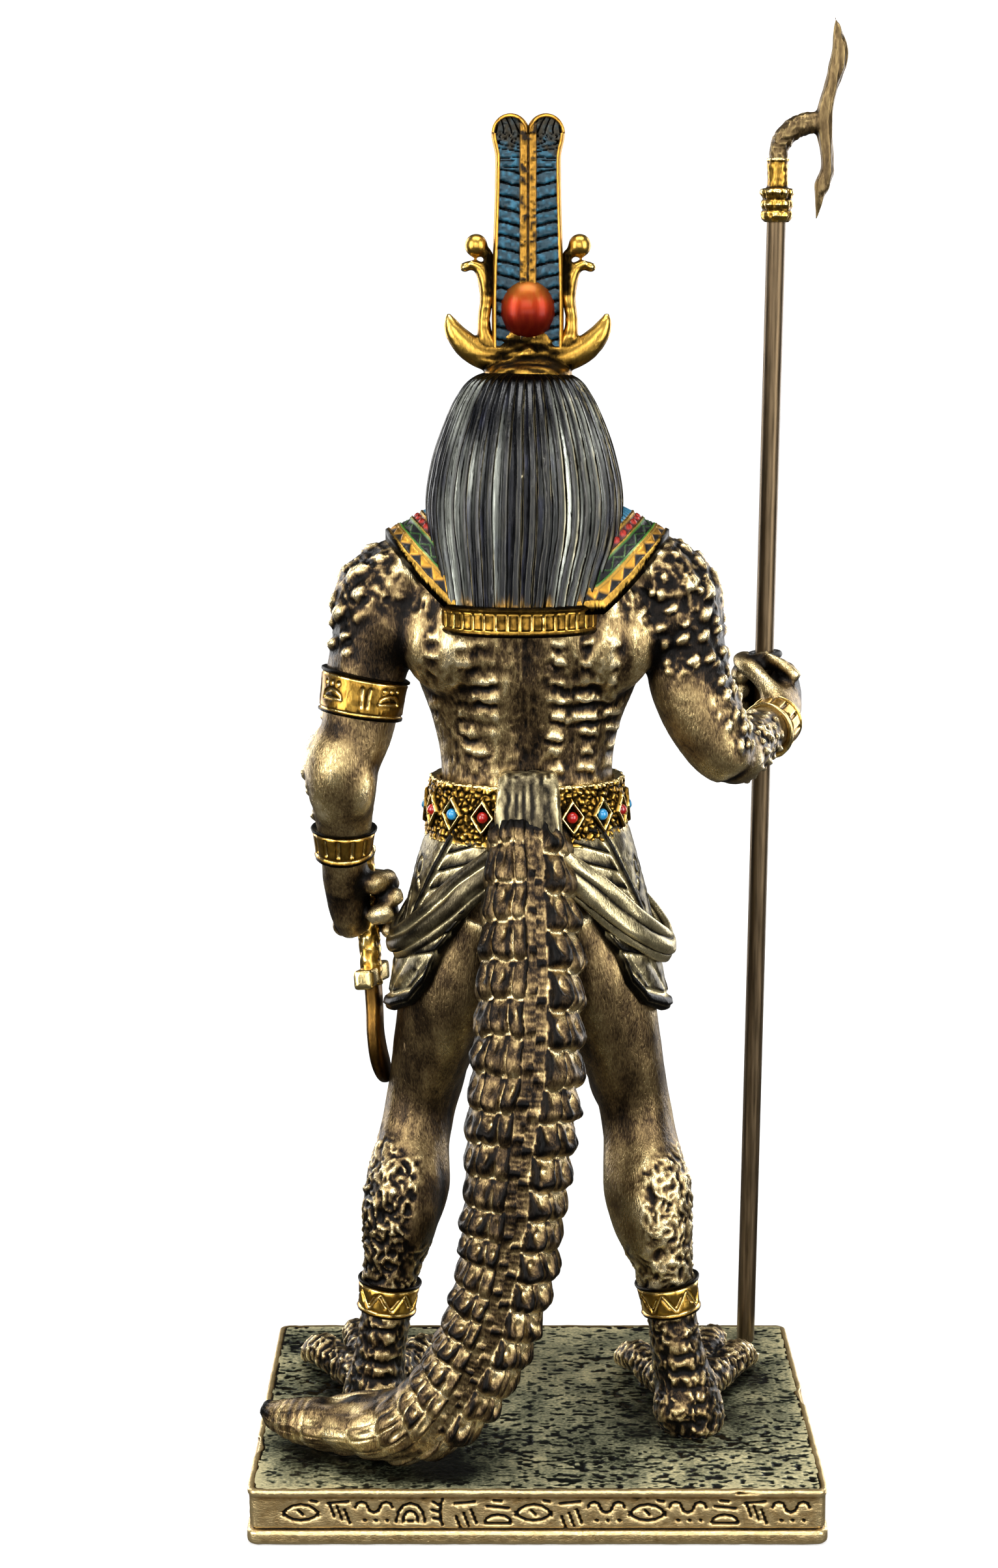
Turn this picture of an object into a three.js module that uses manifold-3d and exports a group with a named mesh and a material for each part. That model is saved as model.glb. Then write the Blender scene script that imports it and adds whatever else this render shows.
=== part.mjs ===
// Cast figure of a crocodile-headed god on a plinth, seen in the round: one casting for the
// figure, with a loose staff through its right fist and a sickle sword in its left.
// Millimetres, +Z up, the front faces -Y, the origin is at the middle of the plinth's underside.
import * as THREE from "three";
import { mergeVertices } from "three/addons/utils/BufferGeometryUtils.js";
import Module from "manifold-3d";

// Driving dimensions
const PLINTH_WIDTH = 115;
const PLINTH_DEPTH = 83;
const PLINTH_HEIGHT = 11.7;
const PLINTH_CORNER = 2.6;
const PLINTH_LEDGE = 3.2; // height of the plain step at the bottom
const PLINTH_LIP = 1.4; // height of the rim at the top
const PLINTH_BAND_INSET = 0.7; // how far the band of strokes lies behind the ledge
const SIGN_DEPTH = 0.4; // depth of the strokes cut in the band
const FIGURE_HEIGHT = 216; // soles to the top of the wig
const SHAFT_DIAMETER = 3.9;
const SHAFT_LENGTH = 252;
const SOCKET_DEPTH = 3; // how far the shaft goes into the plinth
const COLLAR_GRIP = 5; // how far the staff's head is pushed over the shaft
const FIT_GAP = 0.3; // clearance all round between a loose piece and what holds it
const WASHER_WIRE = 1.5; // thickness of the rubber ring that stops the staff sliding
const GRIP_DIAMETER = 4.4; // the sword's handle

// The figure keeps its pose and carving as shares of its height: its sizes are written for a
// figure of this height and multiplied by K.
const DRAWN_HEIGHT = 216;
const K = FIGURE_HEIGHT / DRAWN_HEIGHT;

const wasm = await Module();
wasm.setup();

const TURN = 2 * Math.PI;
const rad = THREE.MathUtils.degToRad;
const clamp = THREE.MathUtils.clamp;
const mix = THREE.MathUtils.lerp;
const vec = (x, y, z) => new THREE.Vector3(x, y, z);

// Shape helpers

// A closed three.js geometry as a manifold solid, its faces turned outwards.
function solid(geometry) {
  const bare = geometry.clone();
  bare.deleteAttribute("normal");
  bare.deleteAttribute("uv");
  const merged = mergeVertices(bare, 1e-4);
  const vertProperties = merged.attributes.position.array;
  const triVerts = new Uint32Array(merged.index.array);
  const make = () => new wasm.Manifold(new wasm.Mesh({ numProp: 3, vertProperties, triVerts }));
  const made = make();
  if (made.volume() > 0) return made;
  for (let i = 0; i < triVerts.length; i += 3) {
    [triVerts[i + 1], triVerts[i + 2]] = [triVerts[i + 2], triVerts[i + 1]];
  }
  return make();
}

// Several solids as one.
function join(...solids) {
  return solids.flat().reduce((sum, piece) => sum.add(piece));
}

// A manifold solid as a three.js geometry. Where forms overlap they can trap a small pocket,
// and a casting is solid there: each pocket is a skin of its own that encloses less than
// nothing, and is left out.
function geometryOf(made) {
  const { vertProperties, triVerts } = made.getMesh();
  const linked = Array.from({ length: vertProperties.length / 3 }, (_, i) => i);
  const rootOf = (i) => {
    while (linked[i] !== i) i = linked[i] = linked[linked[i]];
    return i;
  };
  const corner = (i) => new THREE.Vector3().fromArray(vertProperties, 3 * triVerts[i]);
  const triangles = Array.from({ length: triVerts.length / 3 }, (_, t) => 3 * t);
  for (const t of triangles) {
    linked[rootOf(triVerts[t + 1])] = rootOf(triVerts[t]);
    linked[rootOf(triVerts[t + 2])] = rootOf(triVerts[t]);
  }
  const enclosed = new Map();
  for (const t of triangles) {
    const root = rootOf(triVerts[t]);
    const wedge = corner(t).dot(corner(t + 1).cross(corner(t + 2)));
    enclosed.set(root, (enclosed.get(root) ?? 0) + wedge);
  }
  const kept = triangles.filter((t) => enclosed.get(rootOf(triVerts[t])) > 0);
  const geometry = new THREE.BufferGeometry();
  geometry.setAttribute("position", new THREE.BufferAttribute(vertProperties, 3));
  geometry.setIndex(kept.flatMap((t) => [triVerts[t], triVerts[t + 1], triVerts[t + 2]]));
  geometry.computeVertexNormals();
  return geometry;
}

// Rings of equal count joined into a skin. Open ends are closed to their middle point; with
// around = true the last ring meets the first, as in a hoop.
function skin(rings, around = false) {
  const count = rings[0].length;
  const points = rings.flat();
  const index = [];
  const spans = around ? rings.length : rings.length - 1;
  for (let i = 0; i < spans; i++) {
    const here = i * count;
    const next = ((i + 1) % rings.length) * count;
    for (let j = 0; j < count; j++) {
      const after = (j + 1) % count;
      index.push(here + j, here + after, next + after, here + j, next + after, next + j);
    }
  }
  if (!around) {
    for (const [start, flip] of [[0, true], [(rings.length - 1) * count, false]]) {
      const middle = vec(0, 0, 0);
      for (let j = 0; j < count; j++) middle.addScaledVector(points[start + j], 1 / count);
      points.push(middle);
      for (let j = 0; j < count; j++) {
        const after = (j + 1) % count;
        index.push(points.length - 1, start + (flip ? after : j), start + (flip ? j : after));
      }
    }
  }
  const geometry = new THREE.BufferGeometry().setFromPoints(points);
  geometry.setIndex(index);
  return solid(geometry);
}

// Rows of numbers with smooth rows between them, by a Catmull-Rom spline on each column.
function smooth(rows, count) {
  const last = rows.length - 1;
  const row = (i) => rows[clamp(i, 0, last)];
  return Array.from({ length: count }, (_, n) => {
    const t = (n / (count - 1)) * last;
    const i = Math.min(Math.floor(t), last - 1);
    const f = t - i;
    return rows[0].map((_value, c) => {
      const [a, b, d, e] = [row(i - 1)[c], row(i)[c], row(i + 1)[c], row(i + 2)[c]];
      return b + 0.5 * f * (d - a + f * (2 * a - 5 * b + 4 * d - e + f * (3 * (b - d) + e - a)));
    });
  });
}

// A limb through stations [x, y, z, half width, half depth]: an ellipse square to the path at
// each. The width lies as near to the given side direction as the path allows.
function limb(stations, count, sides, side = vec(1, 0, 0), shape = () => 1) {
  const rows = smooth(stations, count);
  const centre = rows.map(([x, y, z]) => vec(x, y, z));
  const rings = rows.map((row, i) => {
    const along = centre[Math.min(i + 1, count - 1)].clone().sub(centre[Math.max(i - 1, 0)]);
    along.normalize();
    const across = side.clone().addScaledVector(along, -side.dot(along)).normalize();
    const deep = across.clone().cross(along);
    return Array.from({ length: sides }, (_, j) => {
      const angle = (j / sides) * TURN;
      const grow = shape(angle, i);
      return centre[i].clone()
        .addScaledVector(across, row[3] * grow * Math.cos(angle))
        .addScaledVector(deep, row[4] * grow * Math.sin(angle));
    });
  });
  return skin(rings);
}

// Level rings through stations [x, y, z, half width, half depth], for shapes stacked upwards.
function stack(stations, count, sides, shape = () => 1) {
  const rings = smooth(stations, count).map(([x, y, z, wide, deep], i) =>
    Array.from({ length: sides }, (_, j) => {
      const angle = (j / sides) * TURN;
      const grow = shape(angle, i);
      return vec(x + wide * grow * Math.cos(angle), y + deep * grow * Math.sin(angle), z);
    }));
  return skin(rings);
}

function ball([x, y, z], [rx, ry, rz], around = 8, rows = 5) {
  return solid(new THREE.SphereGeometry(1, around, rows).scale(rx, ry, rz).translate(x, y, z));
}

function block([x, y, z], [wide, deep, high], turn = new THREE.Euler()) {
  const geometry = new THREE.BoxGeometry(wide, deep, high);
  geometry.applyMatrix4(new THREE.Matrix4().makeRotationFromEuler(turn));
  return solid(geometry.translate(x, y, z));
}

// A cylinder from one point to another.
function rod(from, to, radius, sides = 20) {
  const along = to.clone().sub(from);
  const geometry = new THREE.CylinderGeometry(radius, radius, along.length(), sides);
  const turn = new THREE.Quaternion().setFromUnitVectors(vec(0, 1, 0), along.clone().normalize());
  geometry.applyQuaternion(turn);
  const middle = from.clone().lerp(to, 0.5);
  return solid(geometry.translate(middle.x, middle.y, middle.z));
}

// Places taken from the figure's pose, in drawn sizes above the soles
const AXIS_X = 2; // the body stands a little to its left of the plinth's middle
const STAFF_FOOT = vec(-47.5, -33, 0);
const STAFF_GRIP = vec(-48.6, -33, 144.6); // where the right fist holds it
const RIGHT_REACH = 7.8; // half width of the right fist
const LEFT_REACH = 6.6;
const THUMB_TOP = 1.08; // top of the thumb above the grip, as a share of the fist's half width
const HAND_HOLLOW = { middle: [-44.6, -26.6, 146.4], radii: [3.8, 4.6, 4.4] }; // right palm
const SWORD_GUARD = vec(33.8, -4.6, 92);
const SWORD_GRIP = vec(34.9, -6.6, 108.4); // where the left fist holds it
const SWORD_FORWARD = vec(-0.2, -0.98, 0).normalize(); // the way the blade curves

// Body

const TORSO = [
  [AXIS_X, 0.5, 106, 18, 13],
  [AXIS_X, 1, 116, 18.5, 13.6],
  [AXIS_X, 0.5, 126, 18.1, 12.6],
  [AXIS_X, -0.5, 136, 17.6, 12],
  [AXIS_X, -0.5, 146, 19, 12.8],
  [1.8, 0, 156, 22.6, 14],
  [1.4, 0.5, 166, 25, 15],
  [1.4, 0.5, 174, 26.5, 14],
  [1.6, 0, 180, 21, 12],
  [AXIS_X, -0.5, 187, 12, 10],
];

function torso() {
  const furrow = (angle) => 1 - 0.06 * Math.max(0, Math.sin(angle)) ** 8;
  return stack(TORSO, 9, 12, furrow);
}

// How far back the torso reaches at a place on it.
function backAt(x, z) {
  const i = TORSO.findIndex((station) => station[2] > z);
  const [low, high] = [TORSO[i - 1], TORSO[i]];
  const share = (z - low[2]) / (high[2] - low[2]);
  const [middle, y, , wide, deep] = low.map((value, c) => mix(value, high[c], share));
  return y + deep * Math.sqrt(1 - ((x - middle) / wide) ** 2);
}

// Rows of raised scutes on the back, two columns each side of the spine.
function backScutes() {
  const bumps = [];
  for (let row = 0; row < 3; row++) {
    for (const column of [-2, -1, 1, 2]) {
      const z = 142 + row * 8;
      const x = AXIS_X + column * 5;
      bumps.push(ball([x, backAt(x, z) - 0.4, z], [2.1, 1.9, 2], 4, 2));
    }
  }
  return bumps;
}

// Knobs over a shoulder: two rows of them round the cap of the arm, on the outer side.
function shoulderKnobs(sign, x) {
  const bumps = [];
  for (let row = 0; row < 2; row++) {
    for (let place = 0; place < 3; place++) {
      const around = rad(-34 + place * 34 + row * 17);
      const rise = rad(30 - row * 36);
      bumps.push(ball([
        x + sign * 8.6 * Math.cos(rise) * Math.cos(around),
        1.4 + 8.6 * Math.cos(rise) * Math.sin(around),
        166 + 8.6 * Math.sin(rise),
      ], [2, 2, 2], 4, 2));
    }
  }
  return bumps;
}

// Stations that run downwards, with a raised band between two heights: its edges are steps.
function banded(stations, top, low, lift) {
  const at = (z, grow) => {
    const i = stations.findIndex((station) => station[2] < z);
    const [above, below] = [stations[i - 1], stations[i]];
    const share = (z - above[2]) / (below[2] - above[2]);
    return above.map((value, c) => mix(value, below[c], share) + (c > 2 ? grow : 0));
  };
  const bevel = 0.4;
  return [
    ...stations.filter((station) => station[2] > top + 2),
    at(top + bevel, 0), at(top, lift), at(low, lift), at(low - bevel, 0),
    ...stations.filter((station) => station[2] < low - 2),
  ];
}

const LEFT_ARM = [
  [25, 1, 177.5, 7, 8],
  [30.8, 1, 171.5, 9.2, 9.5],
  [32.6, 1.5, 163, 8.4, 9],
  [34.2, 2, 155, 7.6, 8],
  [35.8, 2.7, 145, 7.1, 7.5],
  [38.6, 4, 138.5, 7.2, 7.5],
  [39, 3.6, 133, 6.9, 7.1],
  [38.8, 1.6, 126, 5.5, 5.8],
  [38.9, 0.8, 119, 4.8, 5.1],
  [38.6, -1.4, 113, 4.6, 5],
];

function leftArm() {
  const stations = banded(banded(LEFT_ARM, 156, 147.6, 0.9), 124.6, 118.6, 0.9);
  return limb(stations, stations.length, 8);
}

function rightArm() {
  const upper = limb([
    [-21.5, 1, 178, 7, 8],
    [-27.5, 1, 172, 9, 9.5],
    [-29.3, 1.5, 163, 8, 9],
    [-30.6, 2.5, 154.5, 8.2, 8.8],
    [-33.4, 4, 147, 7.9, 8.2],
    [-36.8, 5.2, 140.5, 6.6, 6.8],
    [-39.6, 5.2, 136, 4.2, 4.4],
  ], 7, 8);
  const lower = limb([
    [-37.8, 7, 137, 3.6, 3.8],
    [-39.6, 3, 138.2, 5.8, 6],
    [-43, -4, 139.4, 6.6, 6.6],
    [-47.2, -12, 140.6, 5.9, 6],
    [-51, -19, 142, 4.8, 5],
    [-53.2, -28.6, 144, 4.2, 4.6],
  ], 6, 8);
  return [upper, lower];
}

// A raised band round a limb between two places on its axis.
function cuff(from, to, radius) {
  return limb([[...from, radius, radius], [...to, radius, radius]], 2, 10);
}

// A hand closed round a straight grip. Rings along the grip swell at each of the four fingers
// and draw in between them, but not on the palm's side, which faces the heel. The thumb closes
// over the top finger. turned is 1 on the left hand and -1 on the right.
function fist(grip, along, heel, turned, reach) {
  const up = along.clone().normalize();
  const out = grip.clone().sub(heel);
  out.addScaledVector(up, -out.dot(up)).normalize();
  const side = up.clone().cross(out).multiplyScalar(turned);
  const pitch = 0.47 * reach;
  const rings = [-2.2, -1.5, -1, -0.5, 0, 0.5, 1, 1.5, 2.2].map((share) => {
    const closing = Math.abs(share) > 2 ? 0.68 : 1;
    const centre = grip.clone().addScaledVector(up, share * pitch).addScaledVector(out, -0.8);
    return [...centre, reach * closing, reach * 0.92 * closing];
  });
  const creases = (angle, i) => (i % 2 === 0 && Math.cos(angle) > -0.4 ? 0.86 : 1);
  const thumb = [0.7, 1.6, 2.5].map((turn) => [
    ...grip.clone()
      .addScaledVector(out, -(reach - 1) * Math.cos(turn))
      .addScaledVector(side, -(reach - 1) * Math.sin(turn))
      .addScaledVector(up, THUMB_TOP * reach - 2),
    2.1, 2,
  ]);
  return [limb(rings, rings.length, 10, out, creases), limb(thumb, thumb.length, 6, up)];
}

// Stations down each leg from the hip to below the sole, where the figure is cut flat
const LEFT_LEG = [
  [11, 0.5, 108, 10.5, 12],
  [16.4, -0.5, 93, 10.7, 12.3],
  [20.8, -3.5, 78, 8.6, 10.5],
  [23.3, -4.5, 67, 7.2, 8.5],
  [24.8, -2.6, 59, 7.2, 7.8],
  [26.5, 1.3, 50, 8.6, 8.5],
  [28, 3.4, 42.5, 8, 8.1],
  [29.6, 4.6, 34, 6.1, 6.5],
  [30.8, 5.2, 24, 5, 5.4],
  [32.2, 5.4, 14, 5.2, 6],
  [33.4, 4.8, 5, 6.9, 8],
  [33.8, 4.4, -1, 7.2, 8.6],
];
const RIGHT_LEG = [
  [-7, 0.5, 108, 10.5, 12],
  [-12.6, 0.2, 93, 10.7, 12.3],
  [-17.2, -0.5, 78, 8.6, 10.5],
  [-19.8, -0.9, 67.5, 7.3, 8.4],
  [-21.2, 0.9, 59, 7.4, 7.9],
  [-22.9, 5.3, 50.5, 8.8, 8.6],
  [-24.2, 7.5, 43, 8.1, 8.2],
  [-26.2, 8.7, 35, 6.2, 6.5],
  [-27.7, 9.3, 26, 5, 5.4],
  [-29.4, 9.8, 15, 5.3, 6.1],
  [-31.8, 9.4, 5, 7, 8.2],
  [-32.4, 9, -1, 7.4, 8.8],
];

function leg(stations, cuffTop) {
  const rows = banded(stations, cuffTop, cuffTop - 6.4, 1);
  return limb(rows, rows.length, 8);
}

// A foot: three clawed toes that spread from the ankle, each arched at its knuckle.
function toes(root, tips) {
  return tips.map(([x, y]) => {
    const [rx, ry] = root;
    const at = (share, z, thick) => [mix(rx, x, share), mix(ry, y, share), z, thick, thick];
    return limb([
      at(0, 4.6, 4.4),
      at(0.45, 4.2, 4),
      at(0.72, 5, 3.5),
      at(0.9, 2.8, 2.8),
      at(1, 0.9, 1.2),
    ], 5, 5);
  });
}

// The tail hangs from the belt, meets the plinth and turns to the figure's left. Its rings step
// in and out: each segment is a ring of raised plates with a groove after it.
const TAIL = [
  [1.9, 12.5, 127, 7.4, 6],
  [1.9, 16.5, 118, 8.6, 7],
  [1.7, 21, 105.5, 9.9, 8],
  [1.9, 25, 91, 10.5, 8.6],
  [3, 28, 76, 10.8, 8.8],
  [4.3, 30, 60.5, 10.3, 8.6],
  [5.9, 31, 45, 9.6, 8.3],
  [8.9, 31.4, 32, 9.1, 8.2],
  [13.7, 31.2, 20.8, 8.9, 8.2],
  [20, 30.6, 12.6, 8.6, 8],
  [28, 29, 8.2, 7.6, 7.4],
  [37, 25.6, 6.6, 6.2, 6],
  [45.5, 21.6, 5.6, 4.8, 4.8],
  [52, 18.4, 5.4, 3.4, 3.6],
  [55.6, 16.6, 6.6, 1.3, 1.4],
];
const TAIL_SEGMENTS = 17;

function tail() {
  const plates = (angle, i) => {
    const back = Math.cos(angle - TURN / 4); // 1 on the ridge side, -1 underneath
    const raised = i % 2 === 0 ? 1.1 : 0.93;
    const channel = Math.exp(-(((1 - back) / 0.1) ** 2)) * 0.14;
    return back > -0.3 ? raised - channel : 0.99;
  };
  return limb(TAIL, 2 * TAIL_SEGMENTS + 1, 8, vec(1, 0.35, 0), plates);
}

// Dress

// Height of the kilt's hem at an angle from the middle of the back, 0 to 180 degrees: high
// behind, where it opens for the tail, and low at the sides and front.
function hem(degrees) {
  const rows = [[0, 121], [20, 115], [40, 100], [60, 88.5], [90, 86], [130, 84], [180, 82]];
  const i = Math.max(1, rows.findIndex(([at]) => at >= degrees));
  const [[from, low], [to, high]] = [rows[i - 1], rows[i]];
  return mix(low, high, (degrees - from) / (to - from));
}

// Half width and half depth of the kilt's outside at a height.
function kiltSize(z) {
  const down = clamp((125 - z) / 40, 0, 1);
  return [19.8 + 9.6 * down ** 0.8, 14.4 + 4.6 * down ** 0.8];
}

function kilt() {
  const columns = 22;
  const top = 127;
  const ring = (share, inset, lift) => Array.from({ length: columns }, (_, j) => {
    const turn = (j / columns) * TURN;
    const degrees = 180 - Math.abs((j / columns) * 360 - 180);
    const z = mix(top, hem(degrees), share) + lift;
    const [wide, deep] = kiltSize(z - lift);
    const pleat = j % 2 === 0 ? 0.45 : 0;
    const reach = pleat * share - inset;
    return vec(
      AXIS_X - 0.3 + (wide + reach) * Math.sin(turn), (deep + reach) * Math.cos(turn), z);
  });
  return skin([
    ring(0, 0, 0), ring(0.4, 0, 0), ring(0.75, 0, 0), ring(1, 0, 0), ring(1, 1.6, 0),
    ring(1, 4, 6),
  ]);
}

// A folded sash hung round one hip, from the back of the belt down over the side and up again.
function sash(sign) {
  const stations = [[14, 121], [32, 115], [55, 106.5], [78, 101.5], [100, 101.5], [125, 107],
    [150, 115], [168, 121]].map(([degrees, z]) => {
    const [wide, deep] = kiltSize(z);
    const turn = rad(degrees);
    const out = sign < 0 ? 1.6 : 0.2;
    return [
      AXIS_X + sign * (wide + out) * Math.sin(turn), (deep + 0.2) * Math.cos(turn), z, 4.1, 1.7,
    ];
  });
  return limb(stations, 9, 6, vec(0, 0, 1));
}

function belt() {
  const band = stack([
    [AXIS_X, 0, 122.6, 19.6, 14.2],
    [AXIS_X, 0, 123.4, 20.4, 15],
    [AXIS_X, 0, 134.2, 19.4, 14.2],
    [AXIS_X, 0, 135.2, 18.4, 13.2],
  ], 4, 18);
  const studs = [];
  for (let place = 0; place < 10; place++) {
    const turn = ((place + 0.5) / 10) * TURN;
    if (Math.abs(Math.sin(turn)) < 0.4) continue;
    studs.push(ball([
      AXIS_X + 19.6 * Math.sin(turn), 14.4 * Math.cos(turn), 129,
    ], [2.4, 2.4, 3.4], 4, 2));
  }
  return [band, ...studs];
}

// Cloth gathered over the belt at the back, above the tail's root.
function knot() {
  return [-4.4, 0, 4.4].map((x, i) => limb([
    [AXIS_X + x * 0.9, 11.6, 137, 2.6, 1.6],
    [AXIS_X + x, 15, 131.5, 3, 2.6],
    [AXIS_X + x * 1.04, 16, 125, 3, 2.6],
    [AXIS_X + x * 1.12, 15.4, 119 + (i % 2) * 1.4, 2.6, 2],
  ], 4, 6));
}

// The panel that hangs from the belt in front and widens downwards.
function apron() {
  return limb([
    [AXIS_X, -15.6, 126, 5.4, 1.8],
    [AXIS_X, -18.6, 112, 6.4, 1.9],
    [AXIS_X, -20.6, 98, 7.4, 2],
    [AXIS_X, -21.8, 77, 8.6, 1.8],
  ], 4, 8);
}

// Headgear

const WIG = [
  [2.4, 0, 216, 3, 3],
  [2.5, 0.6, 214.4, 9.4, 9.6],
  [2.6, 1.4, 210.5, 12.8, 13],
  [2.6, 2, 205, 15.4, 15.6],
  [2.6, 2.4, 198.5, 17.6, 17.2],
  [2.6, 3, 191, 18.9, 17.4],
  [2.7, 5.2, 184, 18.4, 15.2],
  [3.1, 8, 178, 16.8, 12.4],
  [3.5, 9.6, 171.6, 15.2, 10.8],
  [3.6, 10, 171, 15, 10.6],
];
const WIG_FLUTES = 12;

function wig() {
  const flute = (angle, i) => 1 + (Math.round((angle / TURN) * 2 * WIG_FLUTES) % 2 ? -0.018 : 0.018)
    * clamp(i / 3, 0, 1);
  const hair = stack(WIG, 7, 2 * WIG_FLUTES, flute);
  const hemBand = stack([
    [3.6, 10.2, 171.4, 15.4, 11],
    [3.6, 10.2, 165.6, 15.2, 11],
  ], 2, 16);
  const lappets = [-1, 1].map((sign) => limb([
    [2.4 + sign * 14, -6, 198, 4.4, 4],
    [2.4 + sign * 14.2, -10.6, 188, 4.8, 3.4],
    [2.4 + sign * 12, -15.6, 172, 5, 2.4],
    [2.4 + sign * 11.6, -16.6, 159, 5.2, 2.2],
  ], 4, 6));
  return [hair, hemBand, ...lappets];
}

// The broad collar lies over the shoulders as a sloping hoop of stepped rows.
function collar() {
  const columns = 16;
  const rows = [0, 0.35, 0.7, 1];
  const rings = Array.from({ length: columns }, (_, j) => {
    const turn = (j / columns) * TURN;
    const across = Math.sin(turn);
    const back = Math.cos(turn);
    const edge = back < 0
      ? 175.5 + 7.5 * across ** 2 + 4.5 * back
      : 183 - 13 * clamp(back / 0.85, 0, 1) ** 2.4;
    const level = (share) => mix(191, edge, share);
    const point = (share, lift) => vec(
      AXIS_X + mix(10, 28, share) * across,
      0.4 + mix(10, 17.6, share) * back,
      level(share) + lift,
    );
    const top = rows.map((share, i) => point(share, 2.4 + (i % 2) * 0.5 - 1.4 * share));
    return [...top, point(1, -2.2), point(0, -3)];
  });
  return skin(rings, true);
}

// The twin plumes, with round lobes at the top
const PLUME_FOOT = 218;
const PLUME_TOP = 264;
const PLUME_BARBS = 7;
const LOBE_RADIUS = 3.6;

// One of the plumes: level rings whose thickness steps in and out, which makes the barbs. They
// rise from the quill at the middle to the plume's outer edge, and the top is a round lobe.
function plume(sign) {
  const lobe = PLUME_TOP - LOBE_RADIUS;
  const steps = 2 * PLUME_BARBS - 3;
  const straight = Array.from({ length: steps }, (_, i) => mix(PLUME_FOOT, lobe, i / (steps - 1)));
  const round = [30, 58, 84].map((degrees) => lobe + LOBE_RADIUS * Math.sin(rad(degrees)));
  const rings = [...straight, ...round].map((z, i) => {
    const chord = Math.sqrt(LOBE_RADIUS ** 2 - Math.max(0, z - lobe) ** 2);
    const inner = z > lobe ? LOBE_RADIUS - 0.3 - chord : -0.3;
    const waist = 0.4 * Math.cos(1.6 * TURN * (z - PLUME_FOOT) / (PLUME_TOP - PLUME_FOOT));
    const outer = LOBE_RADIUS - 0.6 + chord + waist;
    const deep = i % 2 === 0 ? 1.2 : 1.7;
    const rise = 1.6 * clamp((lobe - z) / 8, 0, 1);
    const point = (share, y, down) => vec(AXIS_X + sign * mix(inner, outer, share), y, z - down);
    return [
      point(0, -2, rise), point(0.18, -2, rise), point(0.75, -deep, 0.4 * rise), point(1, 0, 0),
      point(0.75, deep, 0.4 * rise), point(0.18, 2, rise), point(0, 2, rise),
    ];
  });
  return skin(rings);
}

// The crown: ram horns, twin plumes, a sun disc before and behind, and a cobra with a small
// disc on each side.
function crown() {
  const drum = stack([
    [AXIS_X + 0.4, 0.4, 212.5, 9.6, 9.6],
    [AXIS_X, 0, 215.4, 8, 6.8],
    [AXIS_X, 0, 222, 5, 2.6],
  ], 3, 8);
  const horns = [-1, 1].map((sign) => limb([
    [AXIS_X, 0, 218.6, 2, 2],
    [AXIS_X + sign * 7, 0, 217.8, 2.8, 2.6],
    [AXIS_X + sign * 11.6, 0, 220, 2.5, 2.4],
    [AXIS_X + sign * 14.4, 0, 223.2, 1.8, 1.8],
    [AXIS_X + sign * 15.4, 0, 226.4, 0.5, 0.5],
  ], 5, 6, vec(0, 0, 1)));
  const disc = ball([AXIS_X, 0, 227], [5.2, 5, 5.8], 8, 5);
  const cobras = [-1, 1].flatMap((sign) => [
    limb([
      [AXIS_X + sign * 7.4, 0, 219, 2, 1.8],
      [AXIS_X + sign * 9, 0, 226, 1.9, 2],
      [AXIS_X + sign * 8.8, 0, 232, 1.8, 2],
      [AXIS_X + sign * 10.4, 0, 236.2, 2, 2],
      [AXIS_X + sign * 12.6, 0, 235.2, 0.9, 0.9],
    ], 5, 5),
    ball([AXIS_X + sign * 10, 0, 239.2], [2.3, 2.2, 2.4], 6, 4),
  ]);
  return [drum, ...horns, disc, ...cobras, plume(-1), plume(1)];
}

// The crocodile's head: skull and upper jaw, lower jaw, raised eyes and nostrils, and teeth
// down both sides. Stations run forwards along -Y.
function head() {
  const x = 2.3;
  const upper = limb([
    [x, -4, 202.5, 10.6, 9],
    [x, -15, 202.6, 10.8, 8.8],
    [x, -20.5, 201.4, 9.8, 7.4],
    [x, -27, 199.2, 7.4, 5],
    [x, -34, 197.8, 6, 3.9],
    [x, -40, 197, 6, 3.7],
    [x, -44, 196.6, 5, 3.3],
    [x, -46.4, 196.2, 2.4, 1.8],
  ], 8, 8);
  const lower = limb([
    [x, -6, 195, 9, 5],
    [x, -16, 194, 9, 4.2],
    [x, -25, 192.8, 7, 3.1],
    [x, -35, 191.8, 5.2, 2.4],
    [x, -42, 191.4, 4.6, 2],
    [x, -44.8, 191.5, 2, 1.2],
  ], 5, 6);
  const eyes = [-1, 1].flatMap((sign) => [
    ball([x + sign * 6.2, -19.4, 207], [2.7, 3.2, 2.7], 6, 4),
    ball([x + sign * 2.2, -43, 199.8], [1.7, 2, 1.5], 4, 2),
  ]);
  const teeth = [];
  for (const sign of [-1, 1]) {
    for (let place = 0; place < 3; place++) {
      const y = -25 - place * 7;
      const wide = mix(7.5, 4.9, place / 2);
      teeth.push(rod(vec(x + sign * wide, y, 192.4), vec(x + sign * wide, y, 196.6), 1, 3));
    }
  }
  return [upper, lower, ...eyes, ...teeth];
}

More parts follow.
